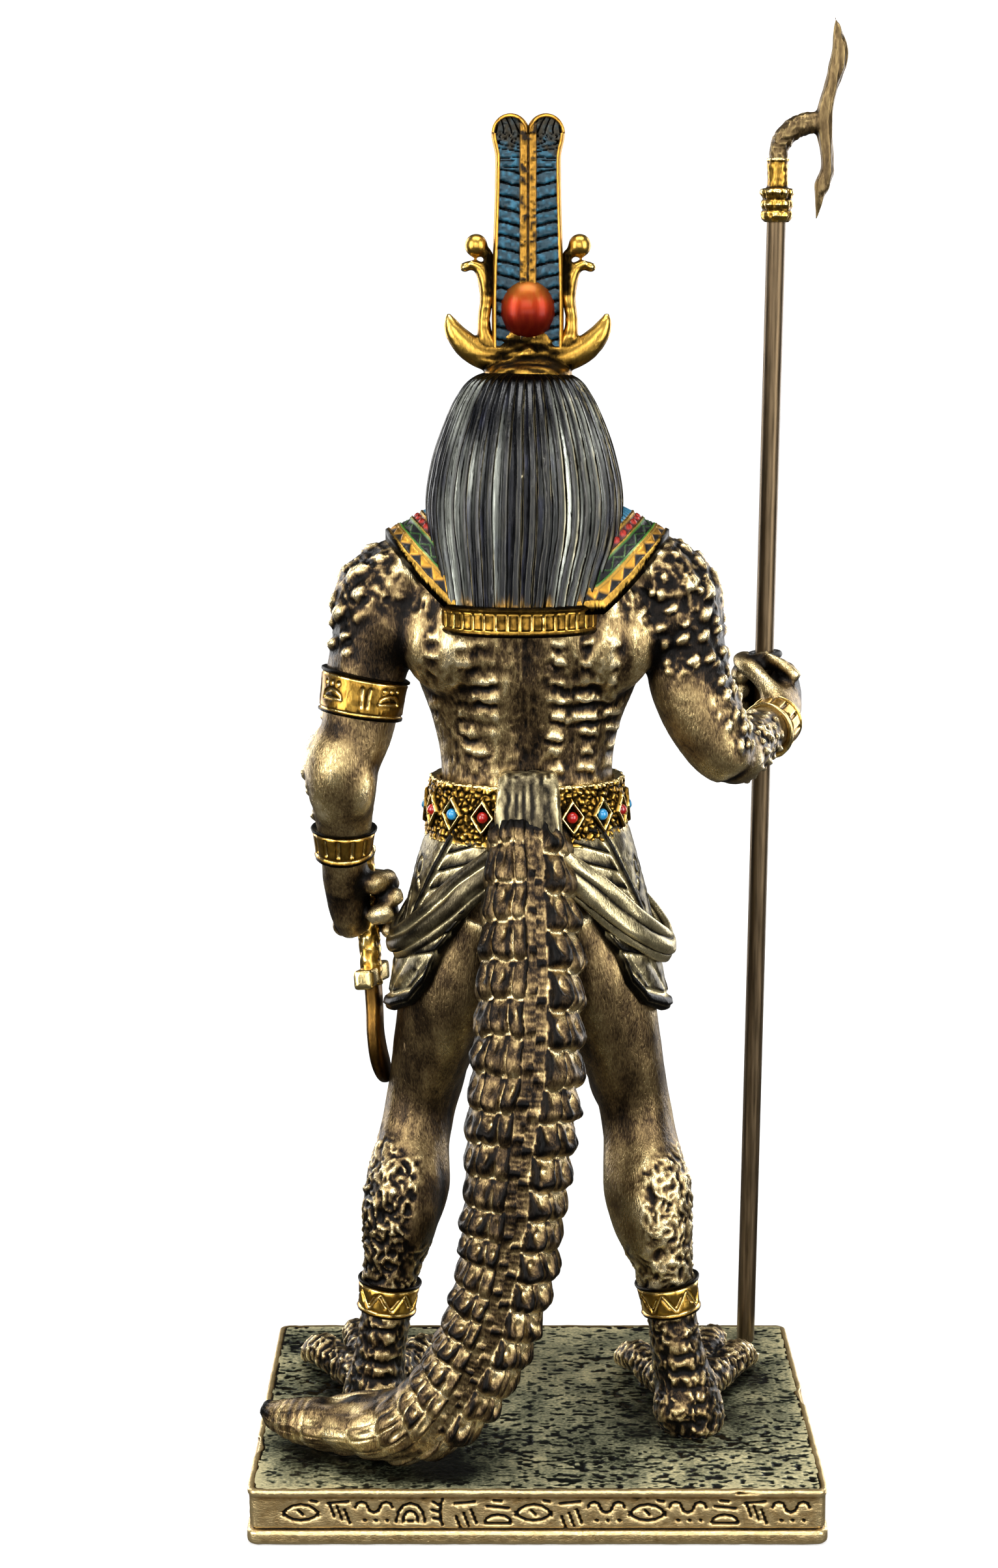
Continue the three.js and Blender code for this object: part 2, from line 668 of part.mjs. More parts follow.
// Everything that the figure's casting holds, cut flat at the soles, hollowed between the right
// hand's palm and thumb, and bored for the staff and the sword's handle.
function figureSolid() {
  const staffLine = STAFF_GRIP.clone().sub(STAFF_FOOT).normalize();
  const swordLine = SWORD_GRIP.clone().sub(SWORD_GUARD).normalize();
  const body = join(
    torso(), backScutes(), leftArm(), rightArm(),
    shoulderKnobs(1, 31), shoulderKnobs(-1, -28),
    leg(LEFT_LEG, 29.4), leg(RIGHT_LEG, 31),
    toes([33.6, 0], [[50, -21.5], [40.4, -33], [20, -21.5]]),
    toes([-32, 5], [[-48, -19.5], [-41, -29.5], [-18.6, -19]]),
    tail(), kilt(), sash(1), sash(-1), belt(), knot(), apron(),
    wig(), collar(), crown(), head(),
    cuff([-49.6, -16.2, 141.4], [-51.5, -20.6, 142.4], 5.9),
    fist(STAFF_GRIP, staffLine, STAFF_GRIP.clone().add(vec(-6, 4, 0)), -1, RIGHT_REACH),
    fist(SWORD_GRIP, swordLine, SWORD_GRIP.clone().add(vec(5, 4, 0)), 1, LEFT_REACH),
  ).scale(K);
  const below = block([0, 0, -10], [400, 400, 20]);
  const hollow = ball(HAND_HOLLOW.middle, HAND_HOLLOW.radii, 8, 4).scale(K);
  const bore = (point, line, low, high, diameter) => {
    const from = point.clone().multiplyScalar(K).addScaledVector(line, low * K);
    const to = point.clone().multiplyScalar(K).addScaledVector(line, high * K);
    const sides = 10;
    return rod(from, to, (diameter / 2 + FIT_GAP) / Math.cos(Math.PI / sides), sides);
  };
  return body
    .subtract(below)
    .subtract(hollow)
    .subtract(bore(STAFF_GRIP, staffLine, -40, 40, SHAFT_DIAMETER))
    .subtract(bore(SWORD_GRIP, swordLine, -12, 12, GRIP_DIAMETER));
}

// Plinth

// A rounded oblong ring, set in from the plinth's full size.
function oblong(inset, z) {
  const corner = PLINTH_CORNER - inset;
  const wide = PLINTH_WIDTH / 2 - PLINTH_CORNER;
  const deep = PLINTH_DEPTH / 2 - PLINTH_CORNER;
  const ring = [];
  for (const [sx, sy, start] of [[1, 1, 0], [-1, 1, 90], [-1, -1, 180], [1, -1, 270]]) {
    for (const step of [0, 45, 90]) {
      const turn = rad(start + step);
      ring.push(vec(sx * wide + corner * Math.cos(turn), sy * deep + corner * Math.sin(turn), z));
    }
  }
  return ring;
}

// Shallow strokes along one side of the band: uprights, slants and short level bars in turn.
function strokes(run, place) {
  const pitch = 13;
  const count = Math.floor((run - 2 * PLINTH_CORNER) / pitch) - 1;
  const room = PLINTH_HEIGHT - PLINTH_LEDGE - PLINTH_LIP;
  const kinds = [[1.2, 0.66, 0], [1.2, 0.6, 24], [4, 0.16, 0], [1.2, 0.5, -28]];
  return Array.from({ length: count }, (_, i) => {
    const [wide, high, slant] = kinds[i % kinds.length];
    const along = (i - (count - 1) / 2) * pitch;
    return place(along, wide, high * room, rad(slant));
  });
}

function plinth() {
  const top = PLINTH_HEIGHT;
  const body = skin([
    oblong(0.4, 0),
    oblong(0, 0.4),
    oblong(0, PLINTH_LEDGE - 0.3),
    oblong(PLINTH_BAND_INSET, PLINTH_LEDGE),
    oblong(PLINTH_BAND_INSET, top - PLINTH_LIP),
    oblong(PLINTH_BAND_INSET / 2, top - PLINTH_LIP + 0.4),
    oblong(PLINTH_BAND_INSET / 2, top - 0.3),
    oblong(PLINTH_BAND_INSET / 2 + 0.3, top),
  ]);
  const middle = (PLINTH_LEDGE + top - PLINTH_LIP) / 2;
  const face = (half) => half - PLINTH_BAND_INSET;
  const cuts = [1, -1].flatMap((side) => [
    ...strokes(PLINTH_WIDTH, (along, wide, high, slant) => block(
      [along, side * face(PLINTH_DEPTH / 2), middle], [wide, 2 * SIGN_DEPTH, high],
      new THREE.Euler(0, slant, 0))),
    ...strokes(PLINTH_DEPTH, (along, wide, high, slant) => block(
      [side * face(PLINTH_WIDTH / 2), along, middle], [2 * SIGN_DEPTH, wide, high],
      new THREE.Euler(slant, 0, 0))),
  ]);
  const foot = STAFF_FOOT.clone().multiplyScalar(K);
  const socket = rod(
    vec(foot.x, foot.y, top - SOCKET_DEPTH), vec(foot.x, foot.y, top + 2),
    SHAFT_DIAMETER / 2 + FIT_GAP, 16);
  return body.subtract(join(cuts)).subtract(socket);
}

// Staff, in its own frame: +Z along the shaft, the origin where it enters the plinth

function shaft() {
  return rod(
    vec(0, 0, FIT_GAP - SOCKET_DEPTH), vec(0, 0, SHAFT_LENGTH - SOCKET_DEPTH),
    SHAFT_DIAMETER / 2, 16);
}

// The staff's head: a turned socket, a neck, and the tall-eared animal head drawn out into a
// hook behind and a blade above. It turns outwards, to the figure's right.
function staffHead() {
  const seat = SHAFT_LENGTH - SOCKET_DEPTH - COLLAR_GRIP;
  const mouth = SHAFT_DIAMETER / 2;
  const profile = [
    [0, 0], [mouth + 0.6, 0], [mouth + 1.3, 1.3], [mouth + 1.1, 2.6], [mouth + 1.5, 3.6],
    [mouth + 1.2, 4.6], [mouth + 1.6, 6.2], [mouth + 0.1, 6.7], [mouth + 0.1, 12.3], [0, 12.4],
  ].map(([r, z]) => new THREE.Vector2(r, z));
  const lifted = solid(new THREE.LatheGeometry(profile, 10).rotateX(Math.PI / 2))
    .translate([0, 0, seat]);
  const arm = limb([
    [0, 0, 11, 1.8, 1.8],
    [-0.35, 0, 14.7, 1.9, 1.9],
    [-1.3, 0, 17, 1.9, 2],
    [-3.4, 0, 18.5, 2, 2.1],
    [-6, 0, 19.4, 2, 2.2],
    [-8.7, 0, 19.9, 1.8, 1.6],
  ], 6, 6, vec(0, 1, 0));
  const blade = limb([
    [-8.1, 0, 0, 0.3, 0.3],
    [-8.9, 0, 4.7, 1.4, 1.3],
    [-9.3, 0, 8.5, 1.6, 2],
    [-10, 0, 11.7, 1.6, 1.7],
    [-9.6, 0, 15, 1.7, 1.7],
    [-9.4, 0, 20, 1.9, 1.8],
    [-9.7, 0, 24.8, 1.7, 1.8],
    [-10.8, 0, 28.6, 1.6, 1.8],
    [-12, 0, 34, 1.5, 1.9],
    [-11.7, 0, 37, 1.1, 1.4],
    [-10.7, 0, 40.8, 0.3, 0.3],
  ], 11, 6, vec(0, 1, 0));
  const carved = join(arm, blade).translate([0, 0, seat]);
  const bore = rod(
    vec(0, 0, seat - 1), vec(0, 0, seat + COLLAR_GRIP + FIT_GAP), mouth + FIT_GAP, 12);
  return lifted.add(carved).subtract(bore);
}

// The rubber ring pushed on the shaft above the fist, a little askew. Its origin is at the
// height where the fist ends, and its lowest point lies one gap above that.
function washer() {
  const tilt = rad(5);
  const radius = SHAFT_DIAMETER / 2 + 1.2 * FIT_GAP + WASHER_WIRE / 2;
  const hoop = new THREE.TorusGeometry(radius, WASHER_WIRE / 2, 6, 10).rotateY(tilt);
  return solid(hoop.translate(0, 0, FIT_GAP + WASHER_WIRE / 2 + radius * Math.sin(tilt)));
}

// Sword, in its own frame: +Z up along the handle, +X the way the blade curves, the origin at
// the guard

function sword() {
  const radius = GRIP_DIAMETER / 2;
  const profile = [
    [0, -2], [radius, -2], [radius, 25], [radius + 0.4, 25.6], [radius + 0.4, 26.6], [0, 27.4],
  ].map(([r, z]) => new THREE.Vector2(r, z));
  const handle = solid(new THREE.LatheGeometry(profile, 10).rotateX(Math.PI / 2));
  const guard = block([0, 0, 0], [15, 3.8, 4]);
  const blade = limb([
    [0.6, 0, -1, 1.3, 2.7],
    [0.4, 0, -7, 1.3, 2.5],
    [-0.2, 0, -13, 1.3, 2.9],
    [1.4, 0, -18.6, 1.2, 3.4],
    [5.2, 0, -22.4, 0.9, 2.9],
    [10.4, 0, -23.8, 0.3, 0.6],
  ], 8, 8, vec(0, 1, 0));
  return join(handle, guard, blade);
}

// Assembly

const bronze = new THREE.MeshStandardMaterial({ color: 0x5c4a33, metalness: 0.8, roughness: 0.45 });
const plinthBronze = new THREE.MeshStandardMaterial({ color: 0x5f6253, metalness: 0.6, roughness: 0.5 });
const shaftBronze = new THREE.MeshStandardMaterial({ color: 0x6e5636, metalness: 0.8, roughness: 0.4 });
const headBronze = new THREE.MeshStandardMaterial({ color: 0x6a5640, metalness: 0.8, roughness: 0.45 });
const gold = new THREE.MeshStandardMaterial({ color: 0xb08a35, metalness: 0.9, roughness: 0.35 });
const rubber = new THREE.MeshStandardMaterial({ color: 0x14140f, metalness: 0, roughness: 0.6 });

function mesh(name, made, material) {
  const piece = new THREE.Mesh(geometryOf(made), material);
  piece.name = name;
  return piece;
}

const part = new THREE.Group();
part.add(mesh("plinth", plinth(), plinthBronze));

const figure = mesh("figure", figureSolid(), bronze);
figure.position.z = PLINTH_HEIGHT;
part.add(figure);

const staff = new THREE.Group();
staff.position.copy(STAFF_FOOT).multiplyScalar(K).add(vec(0, 0, PLINTH_HEIGHT));
staff.quaternion.setFromUnitVectors(
  vec(0, 0, 1), STAFF_GRIP.clone().sub(STAFF_FOOT).normalize());
staff.add(mesh("staff_shaft", shaft(), shaftBronze));
staff.add(mesh("staff_head", staffHead(), headBronze));
const ring = mesh("rubber_ring", washer(), rubber);
ring.position.z = (STAFF_GRIP.z + THUMB_TOP * RIGHT_REACH) * K;
staff.add(ring);
part.add(staff);

const weapon = mesh("sickle_sword", sword(), gold);
const up = SWORD_GRIP.clone().sub(SWORD_GUARD).normalize();
const forward = SWORD_FORWARD.clone().addScaledVector(up, -SWORD_FORWARD.dot(up)).normalize();
weapon.quaternion.setFromRotationMatrix(
  new THREE.Matrix4().makeBasis(forward, up.clone().cross(forward), up));
weapon.position.copy(SWORD_GUARD).multiplyScalar(K).add(vec(0, 0, PLINTH_HEIGHT));
part.add(weapon);

export default part;
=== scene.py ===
"""Cold-cast bronze figure of a crocodile-headed god on its plinth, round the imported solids."""
import math
import bpy
import numpy as np
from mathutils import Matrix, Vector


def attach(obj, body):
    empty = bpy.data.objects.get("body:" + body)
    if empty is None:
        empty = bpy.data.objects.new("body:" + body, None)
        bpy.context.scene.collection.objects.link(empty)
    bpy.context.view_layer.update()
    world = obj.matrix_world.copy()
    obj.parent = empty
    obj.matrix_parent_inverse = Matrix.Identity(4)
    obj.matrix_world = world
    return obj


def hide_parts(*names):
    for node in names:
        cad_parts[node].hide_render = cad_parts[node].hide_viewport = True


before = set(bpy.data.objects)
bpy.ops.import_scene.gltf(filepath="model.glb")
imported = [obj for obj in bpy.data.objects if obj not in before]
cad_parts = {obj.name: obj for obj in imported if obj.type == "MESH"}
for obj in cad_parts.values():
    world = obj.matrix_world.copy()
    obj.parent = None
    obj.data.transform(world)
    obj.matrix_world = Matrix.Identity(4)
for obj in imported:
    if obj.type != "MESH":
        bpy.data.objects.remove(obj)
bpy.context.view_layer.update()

# Plinth, sides and foot: cold-cast resin filled with bronze powder, one casting. Its band holds
# rows of shallow strokes pressed in the mould, dark where the patina stayed in them.
PLINTH = (115, 83, 11.7)
SOLE = PLINTH[2]
CORNER = 2.6


def linear(colour):
    """A colour written as sRGB hex, in linear light: the sRGB curve undone for each channel."""
    srgb = [int(colour[i:i + 2], 16) / 255 for i in (1, 3, 5)]
    return (*[c / 12.92 if c <= 0.04045 else ((c + 0.055) / 1.055) ** 2.4 for c in srgb], 1)


def add_node(material, kind, inputs=None, **settings):
    """One node: its settings, then its sockets, each given a value or another socket to link."""
    node = material.node_tree.nodes.new(kind)
    for name, value in settings.items():
        setattr(node, name, value)
    for name, value in (inputs or {}).items():
        if isinstance(value, bpy.types.NodeSocket):
            material.node_tree.links.new(value, node.inputs[name])
        else:
            node.inputs[name].default_value = value
    return node


def ramp(material, factor, stops):
    """A colour ramp from (place, hex) stops."""
    node = add_node(material, "ShaderNodeValToRGB", {"Fac": factor})
    for place, _ in stops[2:]:
        node.color_ramp.elements.new(place)
    for element, (place, colour) in zip(node.color_ramp.elements, stops):
        element.position = place
        element.color = linear(colour)
    return node.outputs["Color"]


def grain(material, size, detail=3, stretch=(1, 1, 1), **inputs):
    """Noise in the object's own place, of features the given size in millimetres, stretched."""
    place = add_node(material, "ShaderNodeTexCoord").outputs["Object"]
    scale = tuple(1000 / size / s for s in stretch)
    place = add_node(material, "ShaderNodeMapping", {"Vector": place, "Scale": scale})
    node = add_node(material, "ShaderNodeTexNoise", {
        "Vector": place.outputs["Vector"], "Scale": 1, "Detail": detail, **inputs})
    return node.outputs["Fac"]


def calc(material, operation, a, b, clamped=False):
    """One sum of two values."""
    node = add_node(material, "ShaderNodeMath", {0: a, 1: b}, operation=operation,
                    use_clamp=clamped)
    return node.outputs["Value"]


def new_material(name, metallic, **inputs):
    """An empty finish: its shader, with the values that are the same all over."""
    material = bpy.data.materials.new(name)
    material.use_nodes = True
    shader = material.node_tree.nodes["Principled BSDF"]
    shader.inputs["Metallic"].default_value = metallic
    for socket, value in inputs.items():
        shader.inputs[socket.replace("_", " ")].default_value = value
    return material, shader


def attribute(material, name, output="Fac"):
    """One of the piece's own attributes."""
    return add_node(material, "ShaderNodeAttribute", attribute_name=name).outputs[output]


def ranged(material, value, old, new):
    """A value carried from one range of numbers to another."""
    node = add_node(material, "ShaderNodeMapRange", {
        "Value": value, "From Min": old[0], "From Max": old[1], "To Min": new[0],
        "To Max": new[1]})
    return node.outputs["Result"]


def linked(material, shader, colour, rough=None, marks=None, strength=0.2, depth=0.0002):
    """The material with a colour, a roughness and the rise of fine marks on its shader."""
    links = material.node_tree.links
    links.new(colour, shader.inputs["Base Color"])
    if rough is not None:
        links.new(rough, shader.inputs["Roughness"])
    if marks is not None:
        rise = add_node(material, "ShaderNodeBump", {
            "Height": marks, "Strength": strength, "Distance": depth})
        links.new(rise.outputs["Normal"], shader.inputs["Normal"])
    return material


def worn_bronze(name, stops, metallic=0.85, rough=(0.5, 0.3), spread=0.3, brush=(1, 1, 3),
                size=0.5, bump=0.25):
    """Bronze-filled resin, patinated and rubbed back: dark where it lies low, bright where it
    stands out, with the fine marks of the wire wool. Reads the piece's own wear and painted
    shade, 0 to 1."""
    material, shader = new_material(name, metallic)
    marks = grain(material, size, 4, brush, Distortion=0.6)
    uneven = calc(material, "ADD", calc(material, "MULTIPLY", marks, 1.3 * spread),
                  calc(material, "MULTIPLY", grain(material, 6, 3), 1.3 * spread))
    shade = calc(material, "ADD", attribute(material, "wear_and_shade"),
                 calc(material, "SUBTRACT", uneven, 1.3 * spread), True)
    return linked(material, shader, ramp(material, shade, stops),
                  ranged(material, shade, (0, 1), rough), marks, bump, 0.0003)


def spread(*parts):
    """Arrays of one number a point, of shapes that fit together, as one array of points."""
    return np.stack(np.broadcast_arrays(*parts), -1)


def circle(count):
    """Angles spaced evenly round a circle."""
    return np.linspace(0, 2 * math.pi, count, endpoint=False)


def bulged(wave, power):
    """A sine or cosine whose size is raised to a power, its sign kept: it makes a round squarer."""
    return np.sign(wave) * np.abs(wave) ** power


def off_line(value, pitch):
    """How far a value lies from the nearest multiple of a pitch."""
    return np.abs(value / pitch - np.round(value / pitch)) * pitch


def scatter(cells, seed):
    """A number from 0 to 1 for each whole-numbered cell: its three numbers mixed by bits."""
    x, y, z = (cells[..., i].astype(np.int64) for i in range(3))
    h = (x * 374761393 + y * 668265263 + z * 1440662683 + seed * 1274126177) & 0xFFFFFFFF
    h = ((h ^ (h >> 13)) * 1274126177) & 0xFFFFFFFF
    return ((h ^ (h >> 16)) & 0xFFFF) / 65535


def cloudy(points, size, seed=0):
    """Smooth noise from -1 to 1: numbers at the corners of cells of the given size, blended
    between corners by the smooth step of the place in the cell."""
    place = points / size
    cell = np.floor(place)
    part = place - cell
    part = part * part * (3 - 2 * part)
    total = 0
    for corner in np.ndindex(2, 2, 2):
        share = np.prod(np.where(np.array(corner) == 1, part, 1 - part), axis=-1)
        total = total + share * scatter(cell + corner, seed)
    return 2 * total - 1


def pebbles(points, size, seed=0):
    """Distances, in cells, to the nearest and second nearest of points strewn one to a cell."""
    place = points / size
    cell = np.floor(place)
    near = np.full(place.shape[:-1], 9.0)
    next_near = near.copy()
    for offset in np.ndindex(3, 3, 3):
        home = cell + np.array(offset) - 1
        spot = np.stack([scatter(home, seed + i) for i in range(3)], -1)
        gap = np.linalg.norm(home + 0.15 + 0.7 * spot - place, axis=-1)
        next_near = np.minimum(next_near, np.maximum(near, gap))
        near = np.minimum(near, gap)
    return near, next_near


def step(value, low, high):
    """0 below low, 1 above high, and a smooth step between."""
    share = np.clip((value - low) / (high - low), 0, 1)
    return share * share * (3 - 2 * share)


def mound(distance, radius):
    """A rounded bump of height 1: the square of one minus the square of the distance."""
    return np.clip(1 - (distance / radius) ** 2, 0, 1) ** 2


def relaxed(values, edges, times):
    """Each vertex's value becomes the mean of its own and its neighbours', several times."""
    count = len(values)
    neighbours = np.bincount(edges.ravel(), minlength=count)[:, None] + 1
    for _ in range(times):
        total = values.copy()
        for c in range(values.shape[1]):
            total[:, c] += np.bincount(edges[:, 0], values[edges[:, 1], c], count)
            total[:, c] += np.bincount(edges[:, 1], values[edges[:, 0], c], count)
        values = total / neighbours
    return values


def mesh_of(name, points, faces):
    """A mesh from points in millimetres and faces, turned so that its faces point outwards."""
    mesh = bpy.data.meshes.new(name)
    mesh.from_pydata(np.asarray(points) / 1000, [], faces)
    mesh.polygons.foreach_set("use_smooth", [True] * len(mesh.polygons))
    mesh.update()
    mesh.calc_loop_triangles()
    corners = np.zeros(len(mesh.loop_triangles) * 3, np.int32)
    mesh.loop_triangles.foreach_get("vertices", corners)
    a, b, c = (np.asarray(points)[corners[i::3]] for i in range(3))
    if np.einsum("ij,ij->", a - np.mean(points, 0), np.cross(b, c)) < 0:
        mesh.flip_normals()
    return mesh


def arrays_of(mesh):
    """A mesh's points in millimetres, edges and normals as arrays."""
    co = np.zeros(len(mesh.vertices) * 3)
    mesh.vertices.foreach_get("co", co)
    edges = np.zeros(len(mesh.edges) * 2, np.int32)
    mesh.edges.foreach_get("vertices", edges)
    normals = np.zeros(len(mesh.vertices) * 3)
    mesh.vertices.foreach_get("normal", normals)
    return co.reshape(-1, 3) * 1000, edges.reshape(-1, 2), normals.reshape(-1, 3)


def moved(mesh, points):
    """Puts the mesh's points in new places, in millimetres, and gives its arrays there."""
    mesh.vertices.foreach_set("co", (points / 1000).ravel())
    mesh.update()
    return arrays_of(mesh)


def smoothed(mesh, times):
    """Relaxes the mesh, and gives its points and normals."""
    points, edges, _ = arrays_of(mesh)
    points, _, normals = moved(mesh, relaxed(points, edges, times))
    return points, normals


def set_wear_and_shade(mesh, wear_and_shade):
    """The mesh's own wear and painted shade, held between 0 and 1."""
    mesh.attributes.new("wear_and_shade", "FLOAT", "POINT").data.foreach_set(
        "value", np.clip(wear_and_shade, 0, 1).astype(np.float32))


def add_wear_and_shade(mesh, gain, extra=0):
    """The mesh's wear and painted shade: how far each vertex stands out, along its normal, from the
    mean of its neighbours near and far, in millimetres times the gain, about 0.5, plus the extra,
    which at some pieces is painted shade."""
    points, edges, normals = arrays_of(mesh)
    near = relaxed(points, edges, 2)
    far = relaxed(near, edges, 14)
    out = np.einsum("ij,ij->i", 1.5 * (points - near) + (near - far), normals)
    set_wear_and_shade(mesh, 0.5 + gain * out + extra)


def modified(mesh, kind, **settings):
    """The mesh after one modifier, made on an object that is taken away again."""
    holder = bpy.data.objects.new(mesh.name, mesh)
    bpy.context.collection.objects.link(holder)
    modifier = holder.modifiers.new(kind, kind)
    for setting, value in settings.items():
        setattr(modifier, setting, value)
    made = bpy.data.meshes.new_from_object(holder.evaluated_get(
        bpy.context.evaluated_depsgraph_get()))
    bpy.data.objects.remove(holder)
    bpy.data.meshes.remove(mesh)
    return made


def add_piece(name, mesh, material, node="figure", slot="figure_bronze", keep=1.0):
    """A finished piece: its mesh, merged where it is flattest down to a share of its triangles,
    as an object that rides on the frame in its node's place."""
    if keep < 1:
        mesh = modified(mesh, "DECIMATE", ratio=keep)
    mesh.name = name
    piece = bpy.data.objects.new(name, mesh)
    bpy.context.collection.objects.link(piece)
    mesh.materials.append(material)
    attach(piece, "root")
    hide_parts(node)


def add_grid(name, rings, material, wear_and_shade=None, paint=None, hoop=False, **rest):
    """A piece that is one grid of rings, with its wear and painted shade (gain, extra) and its
    paint (ground, layers) where it has them."""
    mesh = mesh_of(name, *skin(rings, hoop))
    if wear_and_shade:
        add_wear_and_shade(mesh, *wear_and_shade)
    if paint:
        add_paint(mesh, *paint)
    add_piece(name, mesh, material, **rest)


def skin(rings, hoop=False):
    """Points and faces of a grid of rings: each four neighbours make a face, and the two ends
    are closed to their middle points unless the rings themselves meet, as in a hoop."""
    rows, columns = rings.shape[:2]
    points = rings.reshape(-1, 3)
    i = np.arange(rows if hoop else rows - 1)[:, None]
    j = np.arange(columns)[None, :]
    after_i, after_j = (i + 1) % rows, (j + 1) % columns
    quads = spread(i * columns + j, i * columns + after_j, after_i * columns + after_j,
                   after_i * columns + j).reshape(-1, 4).tolist()
    if not hoop:
        ends = []
        for row, turned in ((0, True), (rows - 1, False)):
            middle = len(points) + len(ends)
            ends.append(rings[row].mean(0))
            here = row * columns + np.arange(columns)
            after = np.roll(here, -1)
            first, second = (after, here) if turned else (here, after)
            quads += np.stack([np.full(columns, middle), first, second], -1).tolist()
        points = np.vstack([points, ends])
    return points, quads


def evenly(path, count):
    """Points of a path spaced evenly along its length, by straight interpolation."""
    run = np.r_[0, np.cumsum(np.linalg.norm(np.diff(path[:, :3], axis=0), axis=1))]
    at = np.linspace(0, run[-1], count)
    return np.stack([np.interp(at, run, column) for column in path.T], -1), at


def oblong(inset, count):
    """A rounded oblong ring of the plinth, set in by a distance: straight runs and quarter
    turns, its points spaced evenly. Gives the points and the outward directions."""
    quarter = np.linspace(0, math.pi / 2, 13)
    half = np.array(PLINTH[:2]) / 2 - CORNER
    turns = np.concatenate([quarter + k * math.pi / 2 for k in range(4)])
    signs = np.repeat([[1, 1], [-1, 1], [-1, -1], [1, -1]], 13, axis=0)
    out = np.stack([np.cos(turns), np.sin(turns)], -1)
    ring = np.c_[signs * half + CORNER * out, out]
    ring = np.vstack([ring, ring[:1]])
    even = evenly(ring, count + 1)[0][:-1]
    outward = even[:, 2:] / np.linalg.norm(even[:, 2:], axis=1, keepdims=True)
    return even[:, :2] - outward * inset, outward


def bow(along, up, wide, tall, start=0, stop=180, count=7):
    """Short straight strokes that make an arc of an ellipse between two angles in degrees."""
    turn = np.radians(np.linspace(start, stop, count))
    x, y = along + wide * np.cos(turn), up + tall * np.sin(turn)
    return [(x[i], y[i], x[i + 1], y[i + 1]) for i in range(count - 1)]


def band_strokes(run, seed):
    """Strokes along one side of the band, in groups of six kinds that stand apart: nested bows, a
    leaf of two bows, slanted dashes, a wave over dots, a tall reed with twigs, and a low hill.
    Rows of start and end points, in millimetres along and up."""
    random = np.random.default_rng(seed)
    strokes, along, last = [], -run / 2 + 2.5, -1
    while along < run / 2 - 6:
        kind = (last + random.integers(1, 6)) % 6
        last = kind
        turn = random.choice([-1, 1])
        if kind == 0:
            group = bow(2.9, -1.9 * turn, 2.8, 3.9 * turn) + bow(2.9, -1.9 * turn, 1.5, 2.2 * turn)
            group += [(2.4, -1.8 * turn, 3.4, -1.8 * turn)]
            wide = 6
        elif kind == 1:
            group = bow(3.6, -1.2, 3.6, 2.9, 12, 168) + bow(3.6, 0.5, 3.6, 2.2, 192, 348)
            group += [(3.2, -0.5, 4.1, 0.4), (0.4, 2.3, 1.6, 2.5)]
            wide = 7.4
        elif kind == 2:
            group = [(0.3 + 1.5 * i, -2.2 + 0.7 * i * turn, 1.3 + 1.5 * i, 0.6 + 0.7 * i * turn)
                     for i in range(3)] + [(0.6, 2.3, 4.6, 1.9)]
            wide = 5.4
        elif kind == 3:
            group = bow(1.3, 1.1, 1.2, 1.1, 0, 180, 5) + bow(3.7, 1.1, 1.2, 1.1, 180, 360, 5)
            group += bow(6.1, 1.1, 1.2, 1.1, 0, 180, 5)
            group += [(x, -1.7, x + 0.25, -1.6) for x in (1, 3.2, 5.4)]
            wide = 7.6
        elif kind == 4:
            group = bow(-1.8, 0, 3.2, 5, -32, 34, 5) + [(1.5, 1.4, 2.7, 2.2), (1.5, 0, 2.9, 0.5),
                                                       (1.4, -1.5, 2.6, -1.2)]
            wide = 3.4
        else:
            group = bow(2.7, -2.1, 2.6, 1.6) + [(0.6, 0.9, 4.8, 1.3), (2, 2.4, 3.6, 2.5)]
            group += [(0.2, -2.3, 5.2, -2.3)]
            wide = 5.8
        strokes += [(along + x0, y0, along + x1, y1) for x0, y0, x1, y1 in group]
        along += wide + random.uniform(0.3, 0.9)
    return strokes


def carved(along, up, strokes, half_width):
    """How deep, 0 to 1, a point lies in any of the strokes: 1 within half a width of its line."""
    depth = np.zeros_like(along)
    for x0, y0, x1, y1 in strokes:
        near = np.hypot(along - (x0 + x1) / 2, up - (y0 + y1) / 2)
        close = near < math.hypot(x1 - x0, y1 - y0) / 2 + 1.2
        px, py = along[close] - x0, up[close] - y0
        dx, dy = x1 - x0, y1 - y0
        share = np.clip((px * dx + py * dy) / (dx * dx + dy * dy), 0, 1)
        gap = np.hypot(px - share * dx, py - share * dy)
        depth[close] = np.maximum(depth[close], 1 - step(gap, half_width - 0.16, half_width + 0.16))
    return depth


